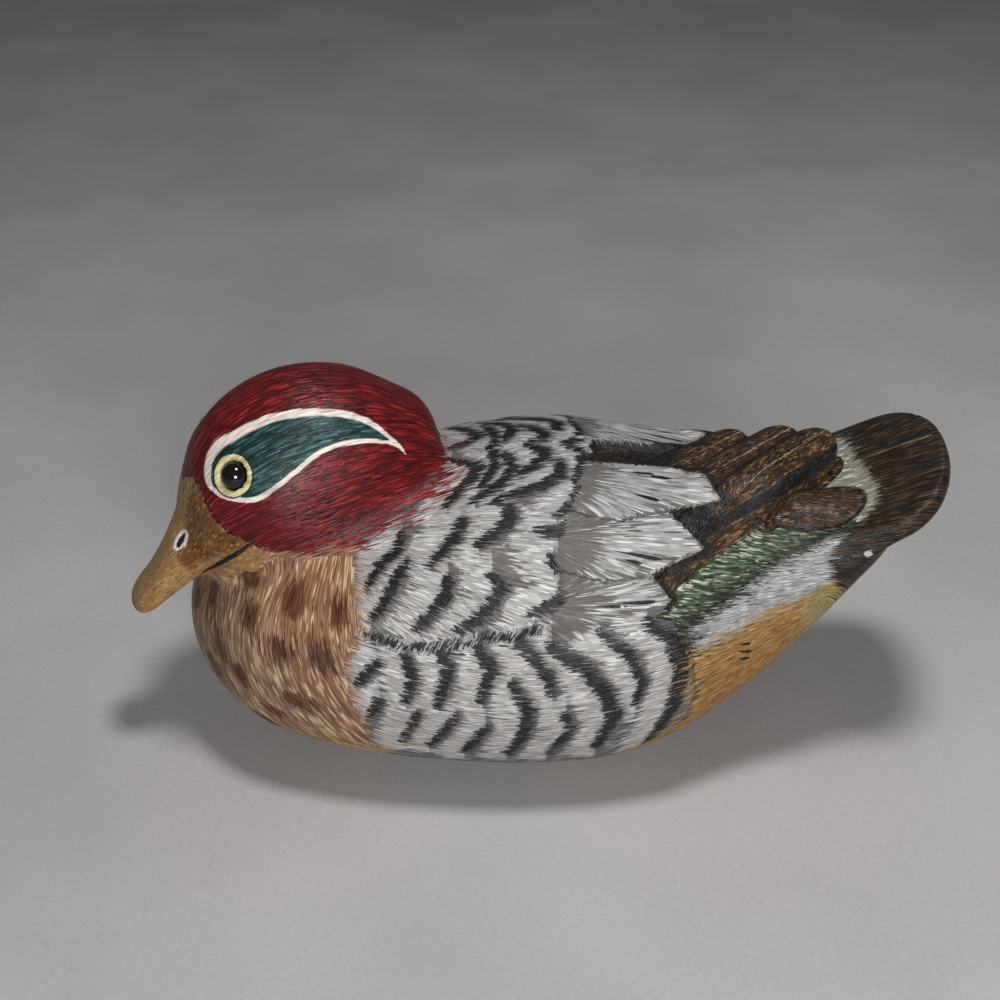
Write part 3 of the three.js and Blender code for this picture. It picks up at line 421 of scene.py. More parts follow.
# %% Skin of the carving
GRID = 0.69
BLOCK, BLOCK_REACH, BATCH, BAND = 8, 1.4, 600, 3
LOW_CORNER, HIGH_CORNER = (-90.0, -46.0, -6.0), (90.0, 46.0, 84.0)
PLANED = 0.08


def carve(distance, low, high, step):
    """Closed skin of a distance: places (3 rows, mm) and four-sided faces."""
    blocks = np.ceil((np.array(high) - low) / step / BLOCK).astype(int)
    corners = [low[axis] + np.arange(blocks[axis]) * BLOCK * step for axis in range(3)]
    middles = np.stack(np.meshgrid(*corners, indexing="ij")) + (BLOCK - 1) * step / 2
    far = distance(*middles)
    cells = np.zeros((*blocks, BLOCK, BLOCK, BLOCK), np.float32)
    cells[...] = np.sign(far)[..., None, None, None] * BAND
    near = np.argwhere(np.abs(far) < BLOCK * step * BLOCK_REACH + 1)
    line = np.arange(BLOCK) * step
    local = np.stack(np.meshgrid(line, line, line, indexing="ij"))
    for part in np.array_split(near, len(near) // BATCH + 1):
        p = (low + part * BLOCK * step)[:, :, None, None, None] + local
        cells[tuple(part.T)] = np.clip(distance(p[:, 0], p[:, 1], p[:, 2]), -BAND, BAND)
    values = cells.transpose(0, 3, 1, 4, 2, 5).reshape(blocks * BLOCK)
    grid = openvdb.FloatGrid(float(BAND))
    grid.copyFromArray(np.ascontiguousarray(values))
    places, faces = grid.convertToQuads(0.0)
    return (np.array(low) + places * step).T, faces


places, faces = carve(fine_distance, LOW_CORNER, HIGH_CORNER, GRID)
places = settle(fine_distance, places, 2, GRID / 2)
places[2] = np.where(places[2] < PLANED, 0, places[2])
print("skin", places.shape[1], "points", len(faces), "faces")

# %% [markdown]
# ## Paint layout
# Paint areas are laid out on charts. On the body a place is named by its distance along the duck and its
# distance round it from the spine, on the head and the tail by their own frames. Each area is kept as a
# distance from its edge, so that the brush strokes can fray that edge later.

# %% Charts of every point of the skin
x, y, z = places
body_round = round_body(x, y, z)
forward, across, up = in_frame(HEAD_CENTRE, HEAD_AXES, x, y, z)
bill_along, bill_across, bill_over = in_bill(forward, across, up)
tail_along, tail_across, tail_over = in_frame(TAIL_ROOT, TAIL_AXES, x, y, z)
side = np.clip(y / 3, -1, 1)
marks = {}


def tell(*names):
    """Prints how much of the skin each area takes in."""
    print(*[f"{name} {100 * (marks[name] > 0).mean():.1f}%" for name in names])


print("round the body from", body_round.min().round(1), "to", body_round.max().round(1), "mm")

# %% [markdown]
# ### Black bars
# Back, shoulder and flank feathers each end in a black bar. One row per bar: its half width, then the
# places it runs through, along the duck and round it.

# %% Bars
BARS = [
    (0.9, [(-31.7, 49.3), (-33.7, 52.1), (-36.0, 55.2)]),
    (0.9, [(-31.4, 59.0), (-33.4, 64.8), (-36.1, 71.1)]),
    (1.0, [(-26.5, 47.7), (-25.0, 52.7), (-26.3, 59.4)]),
    (0.9, [(-24.3, 62.3), (-27.6, 75.0)]),
    (1.1, [(-19.6, 46.9), (-18.1, 50.9), (-20.3, 59.9)]),
    (0.9, [(-16.9, 62.9), (-22.1, 75.3)]),
    (1.2, [(-12.9, 46.4), (-10.1, 51.2), (-12.2, 58.3)]),
    (1.0, [(-11.1, 66.3), (-15.7, 78.4)]),
    (1.2, [(-5.2, 45.8), (-1.9, 49.8), (0.5, 54.3), (1.1, 57.9)]),
    (1.2, [(-6.2, 54.9), (-3.1, 61.6), (-4.2, 69.9), (-7.0, 78.3)]),
    (1.5, [(1.0, 47.3), (7.4, 52.5), (11.4, 59.5), (13.0, 66.4), (9.8, 78.2)]),
    (0.9, [(3.6, 63.2), (4.7, 68.9), (0.7, 79.2)]),
    (1.0, [(9.7, 44.8), (15.5, 50.5), (18.2, 58.1), (16.9, 63.7)]),
    (1.8, [(19.0, 44.1), (23.4, 48.3), (25.8, 57.1), (24.8, 68.7), (20.0, 84.2)]),
    (1.2, [(-18.4, 2.1), (-12.7, 6.3), (-14.2, 9.2), (-16.5, 12.8), (-19.1, 16.5)]),
    (1.1, [(-12.0, 12.6), (-9.9, 7.1), (-9.6, 2.0), (-10.8, 0.1)]),
    (1.2, [(-7.6, 3.3), (-6.1, 7.6), (-7.6, 11.1), (-11.4, 14.3), (-13.6, 16.0)]),
    (1.2, [(-3.1, 0.0), (0.2, 3.0), (0.0, 5.0), (-2.5, 8.1), (-4.9, 9.7)]),
    (1.2, [(2.8, 7.1), (3.1, 10.8), (-0.4, 13.5), (-6.5, 15.5), (-9.5, 16.6)]),
    (1.1, [(4.5, 0.5), (7.4, 2.6), (7.7, 7.4), (5.8, 12.3)]),
    (1.0, [(10.6, 2.5), (9.1, 6.2), (7.4, 10.2)]),
    (1.2, [(6.5, 14.1), (6.0, 17.7), (4.0, 19.6), (2.1, 20.9)]),
    (1.3, [(4.7, 22.7), (2.4, 24.8), (-1.3, 24.2)]),
    (1.3, [(-6.9, 18.9), (-6.5, 21.6), (-9.9, 24.3), (-12.4, 26.0)]),
    (1.2, [(-15.9, 20.4), (-16.6, 23.4), (-19.3, 26.4), (-21.5, 28.7)]),
    (1.4, [(0.9, 29.9), (3.7, 33.2), (3.8, 37.5), (0.8, 38.8), (-2.5, 40.3)]),
    (1.3, [(-9.9, 32.3), (-8.0, 34.7), (-10.3, 38.4), (-13.6, 41.2), (-16.5, 43.1)]),
    (1.2, [(-18.2, 31.9), (-18.8, 35.8), (-21.2, 38.8), (-23.9, 41.8)]),
    (1.1, [(-26.3, 27.7), (-28.4, 31.9), (-30.1, 35.9), (-32.7, 39.3)]),
    (1.0, [(-27.3, 21.3), (-28.0, 25.0), (-31.3, 27.7), (-33.9, 32.4)]),
]
BAR_TIP, BAR_GAP, SEAM_HALF = 5.0, 0.8, 0.9
SEAM = [
    (-34.3, 42.2), (-29.4, 44.4), (-25.5, 46.0), (-20.7, 46.0), (-15.7, 45.5), (-11.0, 44.5), (-6.1, 45.0),
    (-1.9, 43.7)]

ahead, behind = np.full(x.shape, 99.0), np.full(x.shape, 99.0)
for half, line in BARS:
    off, place = near_line(x, body_round, line)
    full = 1.15 - 1.2 * (place - 0.45) ** 2
    off = off - (0.85 * half + 0.15) * full
    past = x > look_up(sorted((r, a) for a, r in line), body_round)
    ahead = np.where(past, ahead, np.minimum(off, ahead))
    behind = np.where(past, np.minimum(off, behind), behind)
marks["bar"] = -np.minimum(ahead, behind)
marks["tip"] = BAR_TIP - ahead
marks["gap"] = BAR_GAP - behind
marks["seam"] = SEAM_HALF - near_line(x, body_round, SEAM)[0]
tell("bar", "tip", "gap", "seam")

# %% [markdown]
# ### Edges of the painted areas
# Each table gives one edge as a curve on a chart, and the mark is how far a place lies past it.

# %% Areas of the body
FLANK_TOP = [
    (-45, 40), (-34.3, 42.2), (-29.4, 44.4), (-25.5, 46), (-15.7, 45.5), (-6, 45), (-2, 44.5), (4.9, 46),
    (10.6, 42.8), (18, 41.3), (24, 41)]
BREAST_BACK = [
    (20, -36.5), (28, -34.8), (42, -34.1), (49, -36.5), (57, -36.3), (66, -34), (73, -33), (95, -32)]
GREEN_LOW = [(18, 51), (29.1, 44.5), (37.1, 40.4), (45.2, 33), (55.3, 24.8), (61, 23.9)]
WHITE_LOW = [(24, 58), (29.3, 54.8), (36.2, 53.9), (45, 52.4), (53.8, 52.6), (58.4, 54.7)]
STRAW_FROM, STRAW_TOP, RUMP_FROM, RUMP_HALF = 50, 56, 51.5, 22
cape_back = beyond_cape(x, body_round)
marks["behind"] = cape_back
for name, edge in (("flank", FLANK_TOP), ("green_low", GREEN_LOW), ("white_low", WHITE_LOW)):
    marks[name] = body_round - look_up(edge, x)
marks["breast"] = np.minimum(look_up(BREAST_BACK, body_round) - x, 20)
marks["straw"] = np.minimum(body_round - STRAW_TOP, x - STRAW_FROM)
marks["rump"] = np.minimum(RUMP_HALF - body_round, x - RUMP_FROM)
tell("flank", "behind", "green_low", "white_low", "breast", "rump")

# %% [markdown]
# ### Blades of the folded wings
# The feathers overlap, so every point of the skin is handed to the blade it lies nearest to. The walls of
# a blade that stands clear are unrolled, so that the same strokes can run over its edge and down its
# side.

# %% Blades of the wings
blades = [(f, 1) for f in LEFT_FEATHERS] + [(f, -1) for f in RIGHT_FEATHERS]
SMALL_RIGHT = len(LEFT_FEATHERS)
body_off = BODY.distance(x, y, z)
blade_distance = np.array([feather_distance(x, y, z, body_off, f, inner) for f, inner in blades])
nearest_blade = blade_distance.argmin(0)
blade_off = blade_distance.min(0)
blade_runs = np.array([along_feather(x, y, f, inner)[:2] for f, inner in blades])
blade_along, blade_across = np.take_along_axis(blade_runs, nearest_blade[None, None], 0)[0]
blade_sizes = np.array([(along_feather(0, 0, f, inner)[2], *f[6:]) for f, inner in blades])
length, root_top, tip_top = blade_sizes[nearest_blade].T
share = np.clip(blade_along / length, 0, 1)
below_top = root_top + (tip_top - root_top) * share + crown(blade_across) - z
unrolled = blade_across + np.sign(blade_across) * np.clip(below_top - 0.6, 0, 8)
print(len(blades), "blades, the longest", blade_sizes[:, 0].max().round(1), "mm")

# %% [markdown]
# ### Where the wings show
# The wings take in what lies inside the outer feather, as far as the rump, and the tips that stand clear
# of it. Between the two wings the cape opens in a long dark gap that starts a little to the left of the
# spine.

# %% Areas of the wings
WING_LOW = [
    (10, 54), (16, 46), (22.1, 39.5), (27.2, 35.1), (32.6, 30.2), (38.4, 25.1), (43.9, 18.6), (50, 13),
    (75, 10)]
GAP_FAR = [(8, -4.5), (9.5, -3.2), (18, 2.8), (26.5, 7.3), (34, 8.9), (44, 10)]
GAP_NEAR = [(8, -5.5), (9.5, -6.5), (18, -6.1), (26, -5), (32, -8.1), (44, -12)]
GAP_START, GAP_CLOSES, WINGS_END, WINGS_FLOOR, OUTER_HALF = 8, 27, 44, 38, 5
outer = [along_feather(x, y, f, inner)[1] + OUTER_HALF for f, inner in (blades[0], blades[SMALL_RIGHT + 1])]
inside = np.minimum(np.where(y < 0, *outer), WINGS_END - x)
# A place shows the blade when it lies close to it and no more than a skin below its top. Past the share of
# its length where a blade stands clear, its whole wall shows.
BLADE_SKIN, TOP_SKIN, WALL, BLADE_SHADOW_HALF = 0.9, 1.3, 9, 1.7
wall_from = np.where(nearest_blade == SMALL_RIGHT, 0.0, 0.5)
skin = TOP_SKIN + WALL * ramp((share - wall_from) / 0.12)
on_blade = np.minimum(BLADE_SKIN - blade_off, skin - below_top)
on_body = np.minimum(inside, look_up(WING_LOW, x) - body_round)
signed_round = np.where(y < 0, -body_round, body_round)
gap_sides = np.minimum(look_up(GAP_FAR, x) - signed_round, signed_round - look_up(GAP_NEAR, x))
opening = np.minimum(gap_sides, x - GAP_START)
covered = np.minimum(np.maximum(on_blade, on_body), cape_back)
covered = np.maximum(covered, np.minimum(opening, WINGS_END - x))
# Beside a blade that stands clear, a black band on the body is painted shadow under the blade.
shadow_beside_blade = np.min([BLADE_SHADOW_HALF - blade_off, cape_back, 20 * (share - wall_from) - 1], axis=0)
marks["midline"] = np.minimum(opening, 0.5 * (GAP_CLOSES - x))
marks["wing"] = np.where(z > WINGS_FLOOR, covered, -9)
marks["blade_shadow"] = np.where((z > WINGS_FLOOR) & (x > 20), shadow_beside_blade, -9)
tell("midline", "wing", "blade_shadow")

# %% [markdown]
# ### Head, bill and tail
# The head ends in a soft line round the neck, and the bill in a line that bends round its root. The green
# patch behind the eye and its pale edge are closed outlines, drawn smooth through a few places.

# %% Areas of the head, bill and tail
HEAD_LOW = [
    (-27, -3.6), (-19.4, -4.7), (-14.6, -5.5), (-10, -6.4), (-3.4, -7.5), (1.6, -7.4), (6.4, -7.2),
    (9.5, -6.2), (11.8, -5.3), (13.6, -4.1), (30, -3.6)]
BILL_BACK = [
    (-90, -4), (-30, -4), (-12, -6), (0, -5.8), (19, -3.8), (30, -3.3), (40, -3.4), (58, -4.7), (72, -4.9),
    (80, -4), (95, -1.5), (110, -2.5), (130, -3.3), (150, -3.3), (180, -5.8), (192, -6), (210, -4),
    (270, -4)]
PATCH = [
    (19.6, 8.6), (19.2, 10.2), (17.8, 12.5), (15.7, 14.4), (13.1, 15.7), (8.7, 17.2), (3.6, 17.9),
    (-1.9, 17.4), (-6.9, 15.9), (-10.8, 13.9), (-13.7, 11.5), (-15.8, 8.4), (-17.4, 5.6), (-18.0, 3.1),
    (-16.3, 6.0), (-13.1, 8.2), (-9.5, 9.7), (-5.5, 10.6), (-1.6, 10.5), (1.6, 9.5), (4.1, 8.6),
    (7.2, 7.4), (10.7, 6.1), (13.6, 5.9), (17.2, 6.6), (18.8, 7.5)]
TEAL = [
    (18.6, 8.8), (18.3, 10.0), (17.1, 12.0), (15.2, 13.7), (12.7, 14.9), (8.5, 16.3), (3.6, 17.0),
    (-1.7, 16.5), (-6.5, 15.1), (-10.3, 13.2), (-13.1, 10.9), (-14.9, 8.6), (-15.8, 7.2), (-13.1, 8.9),
    (-9.5, 10.5), (-5.5, 11.4), (-1.4, 11.3), (1.9, 10.3), (4.4, 9.4), (7.5, 8.2), (10.9, 7.0),
    (13.6, 6.8), (16.8, 7.4), (18.0, 8.0)]


def inside_shape(px, py, points):
    """Distance inside a smooth closed outline, negative outside it."""
    p = np.array(points, float)
    t = np.arange(0, 1, 0.2)[:, None]
    a, b, c, d = (np.roll(p, shift, axis=0)[:, None] for shift in (1, 0, -1, -2))
    curve = b + (c - a) * t / 2 + (a - 2.5 * b + 2 * c - d / 2) * t ** 2
    curve = (curve + (1.5 * (b - c) + (d - a) / 2) * t ** 3).reshape(-1, 2)
    nearest, crossings = np.full(px.shape, 1e3), np.zeros(px.shape, int)
    for (ax, ay), (bx, by) in zip(curve, np.roll(curve, -1, axis=0)):
        s = np.clip(((px - ax) * (bx - ax) + (py - ay) * (by - ay)) / ((bx - ax) ** 2 + (by - ay) ** 2), 0, 1)
        nearest = np.minimum(nearest, np.hypot(px - ax - s * (bx - ax), py - ay - s * (by - ay)))
        if ay != by:
            crossings += ((ay > py) != (by > py)) & (px < ax + (py - ay) / (by - ay) * (bx - ax))
    return np.where(crossings % 2 == 1, nearest, -nearest)


NAPE = [(0, -16), (10, -16.1), (13.7, -18.3), (19, -23.6), (22.5, -29.2), (26, -35), (60, -35)]
JAW = [(-6.1, 2.7), (-3.9, 3.3), (-1.1, 4.3), (0.1, 3.2), (2.7, 3.3), (5.5, 3.5), (7.9, 4.6), (10, 8)]
RING, RING_EDGE = 4.1, 4.4
fore = x < 0
head_over = np.minimum(up - look_up(HEAD_LOW, forward), look_up(NAPE, body_round) - x)
marks["head"] = np.where(fore, head_over, -20)
bill_turn = (np.degrees(np.arctan2(bill_over, -bill_across)) + 90) % 360 - 90
off_breast = np.where(bill_along > 1, body_off - 0.8, 9)
before_root = bill_along - look_up(BILL_BACK, bill_turn)
bill_inside = np.min([before_root, bill_over + look_up(JAW, bill_along), off_breast], axis=0)
marks["bill"] = np.where(fore, bill_inside, -20)
near_head = fore & (forward > -24) & (up > -2)
for name, outline in (("patch", PATCH), ("teal", TEAL)):
    marks[name] = np.where(near_head, -9.0, -20)
    marks[name][near_head] = inside_shape(forward[near_head], up[near_head], outline)
from_eye = np.min([np.linalg.norm(places - centre[:, None], axis=0) for centre, _ in beads.values()], axis=0)
marks["ring"] = RING - from_eye
marks["ring_edge"] = RING_EDGE - from_eye
tell("head", "bill", "patch", "teal", "ring")

# %% [markdown]
# ### Small areas
# The brown on the bill, the pale nostril, the tail as far as its scalloped edge, one chip down to the
# primer, the keel where the breast pales, and the planed underside.

# %% Small areas
TAIL_EDGE = [
    (-21, 4), (-19, 9), (-16.5, 13.6), (-12.8, 15.5), (-9.6, 17.1), (-5, 16.6), (8, 14.3), (16, 13),
    (19, 9), (21, 4)]
CHIP, CHIP_RADIUS = (11.8, -20.3, -5.4), 0.8
KEEL_TOP, UNDER_TOP = 12, 0.4
over_mouth = mouth_over(bill_along, bill_over)
above_brown = over_mouth - 0.8 - 0.2 * (bill_along + 4)
marks["bill_brown"] = np.min([9.5 - bill_along, above_brown, np.abs(bill_across) - 5], axis=0)
long, round_it = nostril_spot(bill_along, bill_across, bill_over)
at_bill = np.where(fore & (forward > 20), 0, -9)
marks["nostril"] = at_bill + 1 - np.hypot(long, round_it)
marks["tail"] = np.where(x > 45, tail_along - look_up(TAIL_EDGE, tail_across), -20)
chip_off = [(p - c) ** 2 for p, c in zip((tail_along, tail_across, tail_over), CHIP)]
marks["chip"] = CHIP_RADIUS - np.sqrt(sum(chip_off))
marks["keel"] = KEEL_TOP - z
marks["under"] = UNDER_TOP - z
tell("bill_brown", "nostril", "tail", "keel", "under")

# %% [markdown]
# ### Breast blotches
# Soft brown blotches cross the buff breast in loose rows. The strokes hang down from the neck and sweep
# back under the duck, and a blotch is placed by the same two measures: round the breast and down it.

# %% Blotches and the run of the breast strokes
BREAST_RADIUS, BREAST_AXIS, BREAST_TOP, SWEEP = 30, -35, 46, 24
# Each row: place round the breast and down it, then half width and half height.
BLOTCHES = [
    (11.6, 10.8, 2.1, 2.6), (23.9, 9.9, 2.2, 2.4), (15, 18.8, 1.8, 3.2), (22.2, 3.5, 2.1, 2.2),
    (33.2, 5.1, 2.5, 2.8), (31.1, 13.5, 2.2, 2.3), (19.1, 22.6, 1.8, 2.4), (38.8, 12.8, 2.2, 3.8),
    (43.4, 4.9, 2.1, 2.6), (30.9, 23.6, 2.6, 1.9), (22.7, 28, 2.2, 1.4), (2.8, 6, 1.8, 2.4),
    (5, 15.5, 1.8, 2.6), (9, 25, 1.8, 2.4), (1, 24, 1.6, 2.4), (15, 33, 2, 1.6)]
around = BREAST_RADIUS * np.arctan2(np.abs(y), -(x - BREAST_AXIS))
down = BREAST_TOP - z
hanging = around - SWEEP * (np.clip(down, 0, BREAST_TOP) / BREAST_TOP) ** 2
marks["blotch"] = np.max([
    2 - 2 * np.hypot((hanging - at) / half_width, (down - low) / half_height)
    for at, low, half_width, half_height in BLOTCHES], axis=0)
tell("blotch")

# %% [markdown]
# ### Run of the brush
# Every area also knows which way the brush went. On the shoulder the strokes fan out of three roots, one
# for each lobe of feathers between the valleys, and a few long splits part each lobe.

# %% Lobes of the shoulder
LOBE_ROOTS = [(-2, 10), (-3, 25), (-4, 38.5)]
lobe_number = (body_round > np.interp(x, [4, 14.2, 23.5], [20, 22, 18.9])).astype(int)
lobe_number += (body_round > np.interp(x, [1, 10.7, 19.1], [32, 34.8, 34.3])).astype(int)
from_root_x, from_root_round = np.array([x, body_round]) - np.array(LOBE_ROOTS)[lobe_number].T
lobe_run = np.hypot(from_root_x, from_root_round)
lobe_across = 20 * np.arctan2(from_root_round, from_root_x)
# Each split: its lobe, its side of the duck, its place across the lobe, and where it starts and ends.
SPLITS = [
    (0, -1, -1.2, 17.9, 24.0), (0, -1, -0.5, 18.6, 27.1), (0, -1, 5.3, 18.9, 25.3),
    (0, 1, -0.3, 20.3, 31.7), (0, 1, -3.5, 20.6, 27.5), (1, -1, 4.5, 16.1, 26.1), (1, -1, 6.0, 18.8, 22.1),
    (2, -1, 1.0, 17.1, 25.1), (2, -1, 1.7, 13.4, 19.4)]
ROOTS = [(0, 10), (10, 7.5), (14, 7), (20, 4.5), (25, 3.5), (30, 1.5), (38, 3.5), (44, 1)]
off_valley = np.min([near_line(x, body_round, line)[0] for _, line in VALLEYS[:2]], axis=0)
past_root = np.min([x - look_up(ROOTS, body_round), 0.3 - cape_back, 0.5 - marks["flank"]], axis=0)
marks["root"] = past_root
marks["lobe"] = np.min([past_root, lobe_run - 14, 0.6 * (off_valley - 0.5), -marks["flank"] - 0.6], axis=0)
marks["lobe_shade"] = np.min([cape_back, 1.5 - cape_back, 43 - body_round], axis=0)
tell("root", "lobe", "lobe_shade")

# %% [markdown]
# ### Runs of the strokes
# A run is the place across the stroke and along it in millimetres, and a third number that keeps the two
# sides and the feathers from sharing the same strokes. Later runs win where they overlap, as later paint
# does.

# %% Runs
middle_part = np.where(nearest_blade == SMALL_RIGHT, 7.4, 3.6)
from_shaft = np.abs(unrolled)
marks["blade_edge"] = np.minimum(from_shaft - middle_part - 0.2, middle_part + 2.6 - from_shaft)
marks["copper"] = np.minimum(np.maximum(middle_part - from_shaft, from_shaft - middle_part - 2.8), x - 27)
tilt = 0.35 * (x - 35) * (1 - ramp((body_round - 52) / 30))
from_neck = x + 60
neck_round = body_round - 16
fan = tail_across * (1 - 0.05 * tail_over) / (0.75 + 0.008 * tail_along)
# Each row: where, across, along, a number of its own, and the width and length of its strokes.
runs = [
    (99 + x, 52 * np.arctan2(neck_round, from_neck), np.hypot(neck_round, from_neck), side, 0.42, 4.0),
    (marks["flank"] + 1, body_round + 0.0058 * np.minimum(x, 0) ** 2, x, side + 4, 0.48, 4.4),
    (np.minimum(cape_back, body_round - 20), body_round - tilt, x, side + 8, 0.45, 2.6),
    (marks["seam"] + 0.1, x + 0.5 * body_round, body_round - 0.3 * x, side + 16, 0.42, 2.2),
    (marks["rump"] + 1, tail_across, tail_along, side + 12, 0.6, 3.6),
]
for k in range(len(LOBE_ROOTS)):
    here = np.where(lobe_number == k, marks["root"] + 0.5, -9)
    runs.append((here, lobe_across, lobe_run, k + 3 * side + 20, 0.55, 5.0))
for k in range(len(blades)):
    here = np.where(nearest_blade == k, marks["wing"] + 0.2, -9)
    runs.append((here, unrolled, blade_along, side + 3 * k + 30, 0.4, 2.0))
runs += [
    (marks["breast"] - 1.5, hanging, 1.15 * down, side + 66, 0.6, 4.6),
    (marks["head"] + 0.9, 24 * np.arctan2(up + 14, np.abs(across)), -1.15 * forward, side + 70, 0.42, 5.0),
    (marks["bill"] + 0.3, 0.12 * bill_turn, bill_along, 90, 0.36, 1.5),
    (marks["tail"] + 2, fan, tail_along, np.clip(tail_over / 4, -1, 1) + 80, 0.5, 4.6),
]
area = np.zeros(len(x), int)
for number, (where, *_) in enumerate(runs):
    area[where > 0] = number
every_run = np.array([
    (sideways / stroke_width, lengthways / stroke_length, apart + 0 * x)
    for _, sideways, lengthways, apart, stroke_width, stroke_length in runs])
brush = every_run[area[faces].max(1)[:, None], :, faces]
print(len(runs), "runs over", len(faces), "faces")

# %% [markdown]
# ### Thin lines
# Some lines are narrower than the mesh is fine. Every face therefore keeps the one line that passes
# nearest: how far each corner lies to the left or right of it, and how wide the line is there.

# %% Thin lines
def line_at(off, run, start, end, half, here=True):
    """How far off a line each place lies, and the line's half width there, below 0 past its ends."""
    share = (run - start) / (end - start)
    outside = np.maximum(np.maximum(start - run, run - end), 0)
    width = half * ramp(share / 0.6) * ramp((1 - share) / 0.2) - outside
    return off, np.where(here, width, -9.0)


DASHES = [((36.5, 59.5), (39.8, 63.3)), ((36.6, 62.3), (40.2, 67.5)), ((36.9, 65.7), (39.8, 70.3))]
at_mouth = fore & (np.abs(bill_across) > 2) & (marks["bill"] > -3)
at_nostril = (at_bill == 0) & (marks["bill"] > -1)
on_tail = (tail_over > -2.5) & (x > 45)
on_wing = (np.abs(blade_across) < 1.6) & (marks["wing"] > 0)
dark = [
    line_at(over_mouth, -bill_along, -16, 7, 0.5, at_mouth),
    line_at(1.4 * round_it + 0.3 * long, 2.5 * long, -2.4, 1.9, 0.68, at_nostril)]
for number, hand, middle_of, start, end in SPLITS:
    here = (lobe_number == number) & (y * hand > 0)
    dark.append(line_at(lobe_across - middle_of, lobe_run, start - 1, end, 0.4, here))
for middle_of, _ in TAIL_PARTINGS:
    dark.append(line_at(tail_across - middle_of, tail_along, PARTING_START, 33, 0.4, on_tail))
for (ax, ar), (bx, br) in DASHES:
    size = np.hypot(bx - ax, br - ar)
    c, d = (bx - ax) / size, (br - ar) / size
    off = (x - ax) * d - (body_round - ar) * c
    dark.append(line_at(off, (x - ax) * c + (body_round - ar) * d, 0, size, 0.42, x > 0))
pale = [
    line_at(blade_across, blade_along, 12, 60, 0.17, on_wing),
    line_at(tail_across - 3.7, tail_along, 16, 31, 0.3, on_tail)]


def nearest_line(lines):
    """For every face corner, the place beside the line that passes nearest to its face."""
    off, width = [np.array(rows)[:, faces] for rows in zip(*lines)]
    best = (width - np.abs(off)).max(2).argmax(0), np.arange(len(faces))
    return np.stack([off[best], width[best], 0 * off[best]], axis=-1)


corner_values = {"brush": brush, "dark_line": nearest_line(dark), "pale_line": nearest_line(pale)}
print(len(dark), "dark lines and", len(pale), "pale ones")

# %% [markdown]
# ### Hollows
# Dark paint laid into the hollows is painted shade, as if they lay in shadow. How hollow a place is
# comes from the distances just around it.

# %% Hollows
HOLLOW_REACH, HOLLOW_SHADE_FROM = 0.8, 1.1
steps = HOLLOW_REACH * np.concatenate([np.eye(3), -np.eye(3)])
around_it = sum(fine_distance(x + a, y + b, z + c) for a, b, c in steps)
# The underside, the very front of the breast and the nape get no painted shade.
open_to_shade = (z > 1) & ((x > -68) | (z > 30)) & ((x < -30) | (marks["head"] < -3))
hollow = np.where(open_to_shade, -around_it / HOLLOW_REACH, 0)
# The groove mark is painted shade: dark where a place lies deep in a hollow.
marks["groove"] = hollow - HOLLOW_SHADE_FROM
print("hollow from", hollow.min().round(2), "to", hollow.max().round(2))

# %% [markdown]
# ### Areas inside areas
# An area that lies inside another one ends at its edge too. A band of black flecks follows the border
# between green and white.

# %% Areas inside areas
FLECK_HALF, FLECK_MIDDLE = 1.7, 0.6
INSIDE = [
    ("white_low", "green_low"), ("green_low", "behind"), ("white_low", "behind"), ("straw", "behind"),
    ("blade_edge", "wing"), ("copper", "wing"), ("keel", "breast"), ("blotch", "breast"),
    ("bill_brown", "bill"), ("teal", "patch")]
for part, whole in INSIDE:
    marks[part] = np.minimum(marks[part], marks[whole])
marks["fleck"] = np.minimum(FLECK_HALF - np.abs(marks["green_low"] - FLECK_MIDDLE), marks["behind"])
for new, old in (("green", "behind"), ("white", "green_low"), ("ochre", "white_low")):
    marks[new] = marks.pop(old)
print("areas", sorted(marks))

# %% [markdown]
# ## The carved duck
# The skin becomes a mesh in metres, standing on the middle of its underside like the solid it stands for.

# %% Mesh of the wood
MM_IN_METRE = 1000
MARK_LIMIT = 60
middle = np.array([*[(row.min() + row.max()) / 2 for row in places[:2]], 0])
points = (places.T - middle) / MM_IN_METRE
mesh = bpy.data.meshes.new("carved_duck_painted")
mesh.vertices.add(len(points))
mesh.vertices.foreach_set("co", points.astype(np.float32).ravel())
mesh.loops.add(faces.size)
mesh.loops.foreach_set("vertex_index", faces.astype(np.int32).ravel())
mesh.polygons.add(len(faces))
mesh.polygons.foreach_set("loop_start", np.arange(0, faces.size, 4, dtype=np.int32))
mesh.polygons.foreach_set("use_smooth", np.ones(len(faces), bool))
mesh.update(calc_edges=True)
for name, values in marks.items():
    layer = mesh.attributes.new("mark_" + name, "FLOAT", "POINT")
    layer.data.foreach_set("value", np.clip(values, -MARK_LIMIT, MARK_LIMIT).astype(np.float32))
for name, values in corner_values.items():
    layer = mesh.attributes.new(name, "FLOAT_VECTOR", "CORNER")
    layer.data.foreach_set("vector", values.astype(np.float32).ravel())
duck = bpy.data.objects.new("carved_duck_painted", mesh)
bpy.context.scene.collection.objects.link(duck)
print("duck", len(mesh.vertices), "points,", 2 * len(mesh.polygons), "triangles, moved by", middle.round(3))

# %% [markdown]
# ## Paint
# The real finish is artist's acrylic, brushed on in many thin strokes over a sanded and sealed body.
# Every area here has a streaked ground, two passes of strokes in its own colours, and strokes that fray
# its edge over the area below. The strokes also stand up a few hundredths of a millimetre, so they catch
# the light.

# %% Tools for paint
def linear(code):
    """A hex colour as the linear red, green, blue and alpha that a shader reads."""
    parts = [int(code[i:i + 2], 16) / 255 for i in (0, 2, 4)]
    return (*[p / 12.92 if p <= 0.04045 else ((p + 0.055) / 1.055) ** 2.4 for p in parts], 1)


